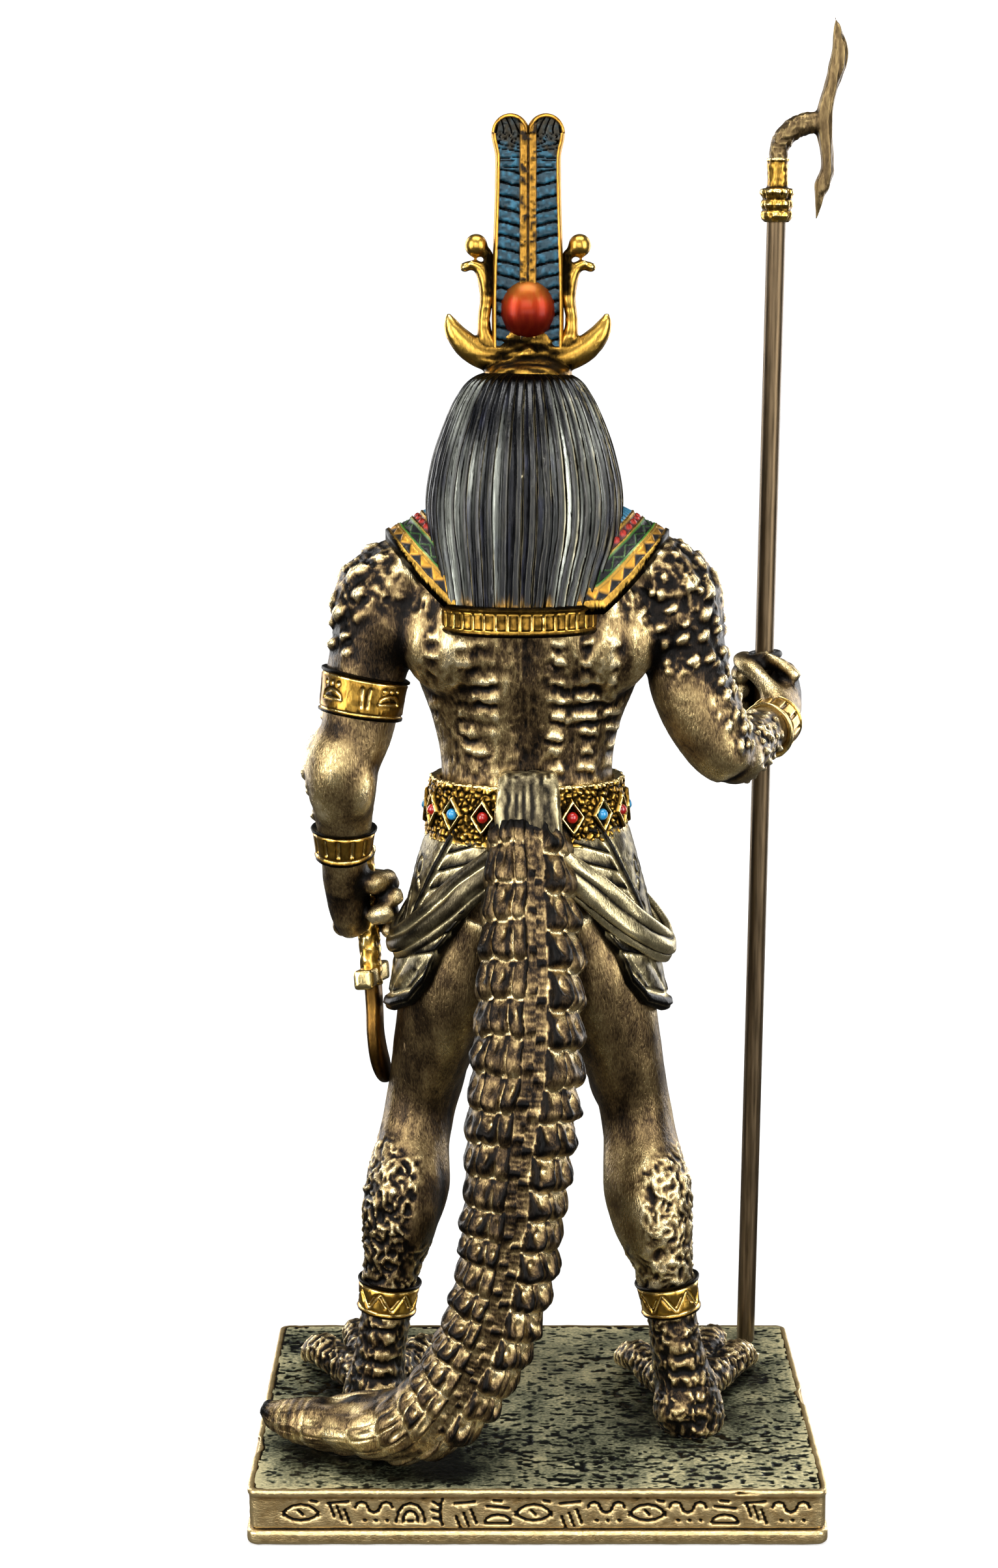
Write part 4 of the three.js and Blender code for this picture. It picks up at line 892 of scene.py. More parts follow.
# The term below the belt's top is painted shade: the trunk darker where it shows in the gap inside
# the belt.
shade = -0.28 * hand[:, 0] - 0.15 * step(level, 135, 130) * (np.abs(points[:, 0]) < 22)
shade -= 0.17 * step(level, 150, 158) * step(from_spine, 21, 25)
shade += 0.05 * step(level, 146, 142) * (points[:, 0] > 30) - 0.06 * step(from_spine, 23, 28)
add_wear_and_shade(trunk_mesh, 1.5, 0.04 + shade - 0.05 * spine)
add_piece("trunk_and_arms", trunk_mesh, skin_bronze, keep=0.5)

# Tail, of the same casting: a sunk brown strip of short bands down its ridge, and at each side of
# it columns of plump plates with thick pale lower lips, hollow in their middles. The tail turns
# along the plinth to the figure's left, and its end is worn and ringed.
TAIL = [(1.9, 12.5, 127, 7.4, 6), (1.9, 16.5, 118, 8.4, 7), (1.7, 21, 105.5, 9.5, 8),
        (1.9, 25, 91, 10.1, 8.6), (3, 28, 76, 10.4, 8.8), (4.3, 30, 60.5, 9.9, 8.6),
        (5.9, 31, 45, 9.2, 8.3), (8.9, 31.4, 32, 8.8, 8.2), (13.7, 31.2, 20.8, 8.7, 8.2),
        (20, 30.6, 12.6, 8.5, 8), (28, 29, 8.2, 7.6, 7.4), (37, 25.6, 6.6, 6.2, 6),
        (45.5, 21.6, 5.6, 4.8, 4.8), (52, 18.4, 5.4, 3.4, 3.6), (55.6, 16.6, 6.6, 1.3, 1.4)]
PLATE_PITCHES = [(0, 7.4), (45, 7.2), (75, 5.9), (115, 5.5), (150, 6.4), (190, 6.4)]
STRIP_BEARINGS = [(0, -0.08), (50, -0.16), (95, -0.34), (130, -0.42), (190, -0.3)]
RIGHT_EDGES = np.array([0, 0.22, 0.68, 1.16, 1.6, 2.1, 2.6, 4])
LEFT_EDGES = np.array([0, 0.22, 0.52, 0.95, 1.36, 1.8, 2.3, 4])
RIGHT_HEIGHTS = np.array([0, 2.2, 2.1, 1.6, 0.8, 0.4, 0.1])
LEFT_HEIGHTS = np.array([0, 1.2, 1.7, 1.5, 0.8, 0.4, 0.1])


def tail_rings():
    """The limb's rings with their radius moved out by the plates, and each point's shade. In a
    plate, v runs down it and u across it from -1 to 1. It swells as the sine of v to the power
    1.7, its corners are cut by u cubed, and it sinks as a mound in its middle."""
    length = evenly(spline(TAIL, 400), 2)[1][-1]
    rows, run = evenly(spline(TAIL, 400), int(length / 0.43))
    around = 196
    angle = np.arange(around) / around * 2 * math.pi
    angle = angle + 0.3 * np.cos(angle)
    bearing = (angle - math.pi / 2 + math.pi) % (2 * math.pi) - math.pi
    bearing = bearing[None, :] * np.ones((len(rows), 1))
    flat = spread(run[:, None], bearing * 9.5, 0.0)
    strip = np.interp(run, *zip(*STRIP_BEARINGS))[:, None]
    bent = bearing - strip + 0.05 * cloudy(flat, 4.5, 3)
    left, side = bent < 0, np.abs(bent)
    edges = np.where(left[..., None], LEFT_EDGES, RIGHT_EDGES)
    column = np.clip((side[..., None] >= edges).sum(-1) - 1, 0, 6)
    low = np.take_along_axis(edges, column[..., None], -1)[..., 0]
    high = np.take_along_axis(edges, column[..., None] + 1, -1)[..., 0]
    u = np.where(column == 0, side / high, np.clip(2 * (side - low) / (high - low) - 1, -1, 1))
    pitch = np.interp(run, *zip(*PLATE_PITCHES))
    rank = np.cumsum(np.gradient(run) / pitch)[:, None]
    place = rank + 0.07 * cloudy(flat, 3.2, 4) + np.where(left, 0.3, 0) + np.where(
        column == 0, 0.1, 0.06 * side * (1 - side))
    index = np.floor(place)
    v = place - index
    own = scatter(np.stack([index, column + 9.0 * left, 0 * index], -1), 3)
    corner = np.clip(v + 0.15 * np.abs(u) ** 3, 0, 1)
    body = np.sin(math.pi * corner ** 1.7) ** 0.55
    edge = step(np.abs(u), 1.0, 0.72)
    hollow = mound(np.hypot((u + 0.25 * (own - 0.5)) / 0.55, (v - 0.38) / 0.27), 1.0)
    ribs = cloudy(flat * [0.45, 1, 1], 0.8, 8)
    plate = body * (0.2 + 0.8 * edge) - 0.5 * hollow * (0.55 + 0.8 * own)
    plate += 0.13 * ribs * step(v, 0.06, 0.2)
    crest = mound((v - 0.84) / 0.16, 1.0)
    banded = -0.35 + 0.55 * crest + 0.07 * np.cos(10 * math.pi * v) * (1 - crest) + 0.12 * ribs
    banded *= 1 - 0.6 * step(u, 0.5, 1)
    tall = np.where(left, LEFT_HEIGHTS[column], RIGHT_HEIGHTS[column]) * (0.75 + 0.5 * own)
    worn = step(run[:, None], 104, 138)
    rise = np.where(column == 0, banded, tall * plate) * (1 - 0.6 * worn)
    rise += worn * 0.9 * cloudy(flat, 4.6, 10)
    ringed = step(run[:, None], length - 15, length - 11)
    rise += ringed * 0.5 * (np.abs(np.sin(math.pi * run[:, None] / 2.1)) ** 0.6 - 0.6)
    size = np.clip(rows[:, 3:4] / 9, 0.2, 1)
    rise = size * (rise - 0.1 + 0.14 * cloudy(flat, 2.2, 9))
    lip = step(corner, 0.46, 0.66) * step(corner, 1, 0.9) * edge
    shade = 0.24 * lip - 0.4 * hollow - 0.45 * (1 - edge) - 0.5 * step(v, 0.16, 0.02)
    shade += np.where(left, -0.03, 0.1) * step(side, 0.3, 0.7)
    tan = crest * step(cloudy(flat, 2.4, 12), -0.4, 0.4)
    shade = np.where(column == 0, -0.2 + 0.36 * tan - 0.15 * step(u, 0.6, 1), shade)
    shade = shade * (1 - 0.7 * worn) + worn * (0.12 + 0.2 * cloudy(flat, 3.4, 13))
    # Painted shade: darker on the side of the tail away from its ridge, which faces the body and
    # the plinth.
    shade -= 0.15 * step(np.abs(bearing), 1.5, 2.2)
    rings = round_path(rows, (1, 0.35, 0), (rows[:, 3, None] + rise) * np.cos(angle),
                       (rows[:, 4, None] + rise) * np.sin(angle))
    rings[..., 2] = np.maximum(rings[..., 2], SOLE - 0.2)
    return rings, shade


tail_grid, tail_shade = tail_rings()
tail_shade += 0.08 * step(tail_grid[..., 2], 80, 40)
add_grid("tail", tail_grid, skin_bronze, (1.1, 0.08 + np.r_[tail_shade.ravel(), 0, 0]), keep=0.56)

# Kilt, of the same casting: thick cloth wrapped round the hips and open behind, where the tail
# comes through. Its hem is a raised border, stepped folds lie under the belt, and the panel on
# each hip is filled with shallow ring and slot marks.
HEM = [(0, 121), (18, 118.5), (25, 114), (33, 108.5), (44, 101.5), (49, 95), (58, 90.5), (75, 88),
       (90, 87), (130, 84.5), (180, 82.5)]
cloth_bronze = worn_bronze(
    "dark_waxed_cast_cloth",
    [(0, "#070604"), (0.3, "#1b170f"), (0.48, "#544b37"), (0.7, "#a09470"), (1, "#ecdbab")],
    rough=(0.38, 0.24), spread=0.26, brush=(1, 1, 3), size=0.3, bump=0.35)


def kilt_size(level):
    """Half width and half depth of the kilt's outside: they grow with the drop below the belt,
    to the power 0.8."""
    down = np.clip((125 - level) / 40, 0, 1) ** 0.8
    return 19.8 + 9.6 * down, 14.4 + 4.6 * down


def kilt_point(degrees, level, out=0.0):
    """The place on the kilt at an angle from the middle of the back and a height."""
    wide, deep = kilt_size(level)
    turn = np.radians(degrees)
    return spread(AXIS_X - 0.3 + (wide + out) * np.sin(turn), (deep + out) * np.cos(turn),
                  level + SOLE)


def ring_mark(x, y, gap_x, gap_y, radius, width):
    """1 on a ring of the given radius and line width about a place, 0 away from it."""
    return 1 - step(np.abs(np.hypot(x - gap_x, y - gap_y) - radius), width * 0.5, width)


def kilt_relief(degrees, level, hem_level):
    """Relief of the kilt's outside, in millimetres, over the angle from the back and the height:
    the hem's border, the edge of the hip's panel, the stepped folds, marks and soft creases."""
    side = np.abs(degrees)
    above = level - hem_level
    rise = 0.75 * step(above, 2.3, 1.5) * step(above, -0.2, 0.5) - 0.3 * step(
        np.abs(above - 2.6), 0.6, 0.1)
    edge = side - (51 + 17 * (122 - level) / 15)
    rise += 0.8 * step(np.abs(edge), 3.2, 0.8) * step(level, 100, 103)
    inside = step(edge, -2, -5) * step(level, 98, 101)
    fold = (level + 0.12 * side - 110) / 3.3
    part = fold - np.floor(fold)
    rise += inside * 0.75 * (step(part, 0, 0.2) * (1 - part) - 0.3)
    hip = step(edge, 2.5, 5) * step(side, 128, 120) * step(level, 101, 104)
    across = (side - 90) * 0.42
    marks = 0
    for u, v, r in ((-6, 117, 1.7), (3, 112, 1.3), (-9, 108.4, 1.2), (8, 117.4, 1.5)):
        marks = np.maximum(marks, ring_mark(across, level, u, v, r, 0.45))
    lines = [(-1.5, 115, -0.3, 120), (1.2, 114.5, 2.4, 119.8), (-4.4, 105.4, -3.4, 111.6),
             (-1.8, 104.8, -0.8, 109.6), (1.6, 104.6, 3, 108.4), (5.4, 105, 6.2, 113.4),
             (-9, 113, -7.4, 114.2), (9.4, 108, 10.2, 114)]
    marks = np.maximum(marks, carved(across, level, lines, 0.42))
    rise += hip * (0.15 - 0.5 * marks)
    low = step(level, 101, 97) * step(above, 2.6, 3.4)
    slant = (level + 0.55 * side) / 7.5
    rise += low * 0.5 * (np.abs(np.sin(math.pi * slant)) ** 0.5 - 0.6)
    rise += low * -0.5 * (1 - step(np.abs(side - 84), 0.4, 1.3)) * step(above, 3, 4)
    return rise


def kilt_rings():
    """A hoop of cross-sections: each runs down the outside with its relief, round the hem and up
    the inside, from the belt to the hem's height at that angle."""
    degrees = np.linspace(-180, 180, 660, endpoint=False)[:, None]
    hem_level = np.interp(np.abs(degrees), *zip(*HEM))
    share = np.linspace(0, 1, 96)[None, :]
    level = 127 + (hem_level - 127) * share
    place = kilt_point(degrees, level)
    rise = kilt_relief(degrees * np.ones_like(level), level, hem_level)
    rise += 0.22 * cloudy(place * [1, 1, 0.5], 3.4, 71) + 0.1 * cloudy(place, 1.1, 72)
    rise *= step(share, 0, 0.04)
    outer = kilt_point(degrees, level, rise)
    bend = np.radians(np.linspace(22, 158, 7))[None, :]
    edge = kilt_point(degrees, hem_level - 0.95 * np.sin(bend), -1.1 + rise[:, -1:] * 0.5
                      + (1.1 + rise[:, -1:] * 0.5) * np.cos(bend))
    inner_level = 127 + (hem_level - 127) * share[:, ::-6]
    inner = kilt_point(degrees, inner_level, -2.2 + 0 * inner_level)
    return np.concatenate([outer, edge, inner], axis=1)


add_grid("kilt", kilt_rings(), cloth_bronze, (2.0, 0.08), hoop=True, keep=0.32)

# Apron, the panel of pleated cloth that hangs from the belt in front, of the same casting.


def apron_rings():
    """The limb of a flat widening panel, its front crossed by level pleats and edged by ribs."""
    rows, run = evenly(spline([(2, -15.4, 127, 5.2, 1.4), (2, -18.4, 112, 6.2, 1.7),
                               (2, -20.4, 98, 7.2, 1.9), (2, -21.8, 77, 8.4, 1.7)], 200), 130)
    angle = circle(120)
    square = bulged(np.cos(angle), 0.45)
    flat = bulged(np.sin(angle), 0.5)
    rib = 0.35 * step(np.abs(square), 0.78, 0.86) - 0.3 * step(
        np.abs(np.abs(square) - 0.72), 0.08, 0.02)
    pleat = 0.3 * (np.abs(np.sin(math.pi * run[:, None] / 2.6)) ** 0.5 - 0.6) * step(
        np.abs(square), 0.72, 0.62)
    return round_path(rows, (1, 0, 0), rows[:, 3, None] * square,
                      (rows[:, 4, None] + rib + pleat) * flat)


add_grid("apron", apron_rings(), cloth_bronze, (2.2,), keep=0.3)

# Sash: a length of cloth in loose folds, hung round each hip from the belt, of the same casting.
SIDES = (("left", 1), ("right", -1))
SASH = [(12, 121.5), (30, 115.5), (52, 107), (76, 101.6), (98, 101.4), (124, 107), (150, 115),
        (168, 121)]


def sash_rings(sign):
    """The limb over the kilt from the back to the front, its round moved out by folds that run
    along it: the sharpened sine of the angle, slowly turning along the run."""
    flare = 1.4 if sign < 0 else 0
    rows = [(*kilt_point(sign * degrees, level - 0.5 * flare, 0.5 + flare)[:2],
             level - 0.5 * flare, 3.3, 1.7) for degrees, level in SASH]
    rows, run = evenly(spline(rows, 300), 230)
    angle = circle(110)[None, :]
    turned = 5 * angle + 0.02 * run[:, None] * sign + 0.6 * np.sin(run[:, None] / 9)
    flow = spread(run[:, None] * 0.25, 3 * np.cos(angle), 3 * np.sin(angle))
    fold = 0.75 * (np.abs(np.sin(turned / 2)) ** 0.7 - 0.6) + 0.3 * cloudy(flow, 1.3, 81)
    swell = 1 + 0.1 * np.sin(run[:, None] / 13 + 1)
    return round_path(rows, (0, 0, 1), (rows[:, 3, None] * swell + fold) * np.cos(angle),
                      (rows[:, 4, None] + fold) * np.sin(angle))


for side_name, sign in SIDES:
    add_grid(f"sash_{side_name}", sash_rings(sign), cloth_bronze, (2.2, 0.1), keep=0.34)

# Belt, of the same casting, painted gold over a hammered ground that stays black in its pits.
# Lozenge mounts stand on it, each with a bead of red or blue enamel.
STONES = [26 + 21.6 * i for i in range(7)]


def painted_gold(name, stops, rough=(0.4, 0.24), **marks):
    """Gold paint with bright metal flakes over bronze, rubbed off the pits."""
    return worn_bronze(name, stops, metallic=1.0, rough=rough, bump=0.2, **marks)


gold_paint = painted_gold(
    "gold_flake_paint",
    [(0, "#080502"), (0.28, "#2c1f09"), (0.5, "#8c692a"), (0.75, "#bf9844"), (1, "#f0d694")],
    rough=(0.44, 0.24), spread=0.25)


def belt_rings():
    """A hoop of cross-sections from the belt's lower to its upper edge: an ellipse at each
    height, with hammered pits, raised edges, and lozenges whose rims are where the sum of the
    two distances from their middle is near 1."""
    degrees = np.linspace(-180, 180, 760, endpoint=False)[:, None]
    share = np.linspace(0, 1, 64)[None, :]
    level = 122.6 + 12.6 * share
    wide = 20.1 - 1.0 * share
    deep = 14.8 - 0.9 * share
    turn = np.radians(degrees)
    flat = spread(degrees * 0.3, level, 0.0)
    near, far = pebbles(flat * [1, 1, 0], 1.35, 91)
    rise = 0.3 * (step(far - near, 0.03, 0.3) - 0.6) + 0.2 * cloudy(flat, 0.7, 92)
    for i, stone in enumerate(STONES):
        for sign in (-1, 1):
            along = (degrees - sign * stone) * 0.3
            lozenge = np.abs(along) / 2.3 + np.abs(level - 128.9) / 3.6
            inner = step(lozenge, 1.12, 1.0)
            mount = 0.15 + 0.65 * step(np.abs(lozenge - 0.86), 0.2, 0.06)
            rise = rise * (1 - inner) + inner * mount
    rise += 0.5 * step(np.abs(share - 0.5), 0.455, 0.475)
    out = 0.9 * step(share, 0, 0.05) * step(share, 1, 0.95) + rise - 0.5
    outer = spread(AXIS_X + (wide + out) * np.sin(turn), (deep + out) * np.cos(turn), level + SOLE)
    inner = spread(AXIS_X + (wide - 1.7) * np.sin(turn), (deep - 1.7) * np.cos(turn),
                   level - 0.7 * step(share, 0.5, 1) + SOLE)
    return np.concatenate([outer, inner[:, ::-6]], axis=1)


# Painted shade: the belt's top ledge and inner wall darkened, so the gap round the body reads dark.
belt_inside_shade = np.arange(760 * 75) % 75 >= 62
add_grid("belt", belt_rings(), gold_paint, (2.0, -0.16 - 0.5 * belt_inside_shade), hoop=True, keep=0.38)


def enamel(name, colour, dark):
    """Gloss enamel paint: an even colour that thins to the dark below at a few places, under a
    clear wet gloss."""
    material, shader = new_material(name, 0, Roughness=0.28, Coat_Weight=0.6, Coat_Roughness=0.12)
    return linked(material, shader, ramp(material, grain(material, 1.6, 3),
                                         [(0.2, dark), (0.6, colour)]))


for name, material, first in (
        ("belt_beads_red", enamel("red_gloss_enamel", "#a81512", "#6b0d0a"), 0),
        ("belt_beads_blue", enamel("sky_blue_gloss_enamel", "#2689bd", "#185c85"), 1)):
    beads = []
    for stone in STONES[first::2]:
        for sign in (-1, 1):
            turn = math.radians(sign * stone)
            beads.append(ball((AXIS_X + 20.1 * math.sin(turn), 14.75 * math.cos(turn), 128.9),
                              (1.15, 1.15, 1.15)))
    add_piece(name, mesh_of(name, *merged(beads)), material, keep=0.5)

# Tuck: the end of the sash gathered over the belt at the back, in upright folds with two loops
# at the bottom, of the same casting.
tuck_parts = []
for i, (x, low, thick) in enumerate([(-5.4, 118.6, 1.5), (-3.9, 118, 1.2), (-2, 120.6, 1.4),
                                     (-0.3, 121, 1.3), (1.6, 120.4, 1.4), (3.3, 120.8, 1.3),
                                     (5, 119.8, 1.5)]):
    lean = 0.3 * math.sin(2.4 * i)
    tuck_parts.append(limb([
        (AXIS_X + x * 0.8, 11.4, 137.2, thick, 1), (AXIS_X + x * 0.86, 14.2, 136.4, thick, 1.2),
        (AXIS_X + x * 0.95 + lean, 16.2, 131, thick, 1.4), (AXIS_X + x - lean, 17, 125, thick, 1.5),
        (AXIS_X + x * 1.08, 16.6, low, thick * 1.1, 1.3)], 0.6))
tuck_parts.append(limb([(AXIS_X - 5.6, 16.6, 121, 1, 1), (AXIS_X - 5.2, 16.8, 118.2, 1, 1),
                        (AXIS_X - 3.8, 16.9, 117.4, 1, 1), (AXIS_X - 3, 16.6, 119, 0.9, 0.9)], 0.5))
tuck_mesh = fused("belt_tuck", tuck_parts, 0.34)
points, normals = smoothed(tuck_mesh, 3)
points += normals * (0.16 * cloudy(points * [1, 1, 0.15], 0.7, 95))[:, None]
moved(tuck_mesh, points)
add_wear_and_shade(tuck_mesh, 1.8, -0.12)
add_piece("belt_tuck", tuck_mesh, cloth_bronze, keep=0.8)

# Bands on the left upper arm, both wrists and both ankles: part of the casting, gold-painted,
# with rolled edges and marks pressed in between them.


def band_rings(stations, top, low, lift, mark):
    """A hoop of cross-sections round a limb between two heights: its ellipse, lifted, with a
    rolled rim at each edge, and marks sunk between, given by mark(around, across, width)."""
    rows = evenly(spline(stations, 40 * len(stations)), 600)[0]
    rows = evenly(rows[(rows[:, 2] <= top) & (rows[:, 2] >= low)], 40)[0]
    centre, across, deep = frames(rows, (1, 0, 0))
    width = np.linalg.norm(np.diff(centre, axis=0), axis=1).sum()
    angle = circle(300)[:, None]
    share = np.linspace(0, 1, len(rows))[None, :]
    edge = np.minimum(share, 1 - share) * width
    around = angle * (rows[:, 3] + lift)[None, :].mean()
    out = lift * step(edge, -0.35, 0.2) + 0.22 * step(np.abs(edge - 0.45), 0.42, 0.15)
    out = out - 0.22 * step(np.abs(edge - 1.05), 0.3, 0.1)
    place = spread(around, share * width, 0.0)
    out = out - 0.4 * mark(around, share * width - width / 2, width) + 0.07 * cloudy(place, 1.2, 21)

    def rings(out):
        return (centre[None] + ((rows[:, 3][None] + out) * np.cos(angle))[..., None] * across[None]
                + ((rows[:, 4][None] + out) * np.sin(angle))[..., None] * deep[None])
    return np.concatenate([rings(out), rings(-1)[:, ::-5]], axis=1)


def slots(around, across, width):
    """Upright slots a few millimetres apart."""
    return step(off_line(around, 2.9), 0.42, 0.28) * step(
        np.abs(across), width / 2 - 1.4, width / 2 - 1.7)


def zigzag(around, across, width):
    """A zigzag line between the rims, with a short stroke beside each leg."""
    half = width / 2 - 1.5
    pitch = 5.4
    phase = around / pitch - np.floor(around / pitch)
    line = (4 * np.abs(phase - 0.5) - 1) * half
    inside = step(np.abs(across), half + 0.1, half - 0.2)
    second = (4 * np.abs((phase + 0.14) % 1 - 0.5) - 1) * half
    return inside * np.maximum(step(np.abs(across - line), 0.62, 0.3),
                               step(np.abs(across - second), 0.55, 0.2)
                               * (np.abs(across) < half * 0.55))


def bars_and_dots(around, across, width):
    """Pairs of bars, a bow with three dots under it, and a plain space, in turn."""
    pitch = 13.0
    place = (around + 1.5) % pitch
    strokes = [(2, -1.9, 2.2, 1.9), (3.5, -1.9, 3.5, 1.9)]
    turn = np.linspace(0, math.pi, 7)
    arc = np.stack([8.2 - 2.5 * np.cos(turn), 0.9 - 1.7 * np.sin(turn)], -1)
    strokes += [(*arc[i], *arc[i + 1]) for i in range(6)] + [(5.7, 0.9, 10.7, 0.9)]
    marks = carved(place * np.ones_like(across), across * np.ones_like(place), strokes, 0.3)
    for dot in (6.6, 8.2, 9.8):
        marks = np.maximum(marks, step(np.hypot(place - dot, across + 2), 0.5, 0.3))
    return marks


WRIST = [(-46, -12, 140.8, 5.3, 5.5), (-48.4, -16, 141.5, 4.7, 4.9),
         (-50.2, -20.4, 142.5, 4.6, 4.8), (-51, -23, 143.5, 4.6, 4.9)]
for name, stations, top, low, lift, mark in (
        ("armlet_left", LEFT_UPPER, 156, 147.4, 0.9, bars_and_dots),
        ("wristband_left", LEFT_FOREARM, 124.6, 118.4, 1.0, slots),
        ("anklet_left", LEFT_LEG, 29.8, 22.8, 1.0, zigzag),
        ("anklet_right", RIGHT_LEG, 31.4, 24.4, 1.0, zigzag),
        ("wristband_right", WRIST, 142.5, 141.2, 0.8, slots)):
    add_grid(name, band_rings(stations, top, low, lift, mark), gold_paint,
             (1.8, 0.22 if name.startswith("anklet") else 0.1), hoop=True, keep=0.32)

# Broad collar, of the same casting: rows of beads and small triangles round the neck and over
# the shoulders, picked out by hand in gold, sky blue, red and green over black.


def add_paint(mesh, ground, layers):
    """The mesh's paint: a colour and how metallic it is at each vertex. Each layer is how far it
    covers the ones before, from 0 to 1 over the grid's points, then its hex and metal."""
    count = len(mesh.vertices)
    colour = np.tile(linear(ground[0]), (count, 1))
    metal = np.full(count, float(ground[1]))
    for cover, hex_colour, metallic in layers:
        cover = np.ravel(cover)
        cover = np.clip(np.r_[cover, np.zeros(count - len(cover))], 0, 1)
        colour += cover[:, None] * (np.array(linear(hex_colour)) - colour)
        metal += cover * (metallic - metal)
    mesh.attributes.new("paint", "FLOAT_COLOR", "POINT").data.foreach_set("color", colour.ravel())
    mesh.attributes.new("metal", "FLOAT", "POINT").data.foreach_set("value", metal)


def mixed(material, factor, a, b, blend="MIX"):
    """Two colours mixed by a factor."""
    node = add_node(material, "ShaderNodeMix", {0: factor, 6: a, 7: b}, data_type="RGBA",
                    blend_type=blend)
    return node.outputs[2]


def painted_casting(name, rough=(0.5, 0.3), brush=(1, 1, 4), rub="#b99a62", streak=0.5):
    """Paints laid on the casting by brush and rubbed back: the dark patina shows in the hollows
    and bare bronze on the highest edges. Reads the piece's own paint, metal, and wear and painted
    shade."""
    material, shader = new_material(name, 0)
    marks = grain(material, 0.4, 4, brush, Distortion=0.4)
    shade = calc(material, "ADD", attribute(material, "wear_and_shade"), calc(material, "MULTIPLY", calc(
        material, "SUBTRACT", marks, 0.5), streak), True)
    hollow = ramp(material, shade, [(0.15, "#0a0908"), (0.46, "#ffffff")])
    rubbed = ramp(material, shade, [(0.74, "#000000"), (0.95, "#9a9a9a")])
    tone = mixed(material, 1.0, attribute(material, "paint", "Color"), hollow, "MULTIPLY")
    links = material.node_tree.links
    links.new(ranged(material, shade, (0.15, 0.5), (0.02, 0.35)),
              shader.inputs["Specular IOR Level"])
    links.new(attribute(material, "metal"), shader.inputs["Metallic"])
    return linked(material, shader, mixed(material, rubbed, tone, linear(rub)),
                  ranged(material, marks, (0.3, 0.7), rough), marks)


GOLD, BLACK = "#c08d38", "#0b0b0d"
hand_paint = painted_casting("hand_painted_cast_resin")


def wave(phase):
    """A triangle wave from 0 up to 1 and back over each whole number."""
    return 1 - np.abs(2 * (phase - np.floor(phase)) - 1)


def band(value, low, high, soft=0.008):
    """1 between two values and 0 outside, with a soft edge."""
    return step(value, low - soft, low + soft) * step(value, high + soft, high - soft)


def collar_rings():
    """A hoop of cross-sections from the neck out over the shoulders and back beneath, spaced
    evenly along the collar, with each row's relief. Also the covers of its paints."""
    turn = np.linspace(0, 2 * math.pi, 1441)
    run = np.r_[0, np.cumsum(np.hypot(np.diff(24 * np.sin(turn)), np.diff(15 * np.cos(turn))))]
    columns = 700
    turn = np.interp(np.arange(columns) / columns * run[-1], run, turn)[:, None]
    place = (np.arange(columns) / columns)[:, None]
    share = np.linspace(0, 1, 96)[None, :]
    across, back = np.sin(turn), np.cos(turn)

    def point(share, lift):
        edge = np.where(back < 0, 175.5 + 7.5 * across ** 2 + 4.5 * back,
                        183 - 13 * np.clip(back / 0.85, 0, 1) ** 2.4)
        level = 191 + share * (edge - 191)
        deep = 10 + 7.6 * share
        return spread(AXIS_X + (10 + 18 * share) * across, 0.4 + deep * back, level + lift + SOLE)

    point_share, share = share, 1 - (1 - share) / 0.82
    gold_lines = sum(band(share, low, high) for low, high in (
        (0.1, 0.13), (0.24, 0.27), (0.5, 0.532), (0.634, 0.652), (0.82, 0.845), (0.945, 1.1)))
    lines = gold_lines + 0 * place
    blocks = band(share, 0.38, 0.5) * step(wave(place * 120), 0.2, 0.5)
    inner = band(share, 0.14, 0.24) * step(wave(place * 60), 0.25, 0.5)
    bead_gap = np.hypot((place * 62 - np.round(place * 62)) * 1.9, (share - 0.585) * 20)
    beads = step(bead_gap, 0.75, 0.6)
    third = (share - 0.735) / 0.08
    upper = step(wave(place * 42) - (third + 0.35), 0.12, 0.28) * (third > -0.78)
    lower = step(wave(place * 42 + 0.5) - (0.35 - third), 0.12, 0.28) * (third < 0.6)
    green = band(share, 0.655, 0.818) * (1 - np.clip(upper + lower, 0, 1) * (np.abs(third) < 0.85))
    peaks = step(wave(place * 48) - (share - 0.85) / 0.09, -0.06, 0.1)
    triangles = band(share, 0.85, 0.942) * peaks
    relief = (0.45 * lines + 0.25 * blocks + 0.25 * inner
              + 0.5 * band(share, 0.54, 0.63) * np.sqrt(np.clip(1 - (bead_gap / 0.75) ** 2, 0, 1))
              + 0.3 * green + 0.35 * triangles)
    covers = [(band(share, 0.535, 0.633) + 0 * place, "#3a0d0c", 0), (blocks, "#2f6f8c", 0.1),
              (inner, "#2f6f8c", 0.1), (beads, "#a32617", 0), (green, "#34681f", 0.1)]
    share = point_share
    noise = cloudy(point(share, 0), 2.2, 75)
    lift = 2.3 - 1.4 * share + relief + 0.15 * noise
    top = point(share, lift)
    low_share = np.r_[1, 1, 1, share[0, ::-8]][None, :]
    drop = np.r_[1.25, 1.0, 0.25, np.zeros(low_share.size - 3)][None, :]
    low = point(low_share, -3 + 2.5 * low_share + drop + 0 * place)
    fill = np.zeros((columns, low.shape[1]))
    wall = np.concatenate([0 * noise, (low_share > 0.9) + 0 * place], 1)
    covers += [(green * step(noise, 0.2, 0.8), "#7b9463", 0.3), (triangles, GOLD, 1),
               (lines, "#c79a44", 1)]
    return np.concatenate([top, low], 1), [
        *[(np.concatenate([cover, fill], 1), colour, metal) for cover, colour, metal in covers],
        (wall, "#a9843f", 1)]


collar_grid, collar_paint = collar_rings()
add_grid("broad_collar", collar_grid, hand_paint, (1.4, 0.04), ((BLACK, 0.3), collar_paint),
         hoop=True, keep=0.42)

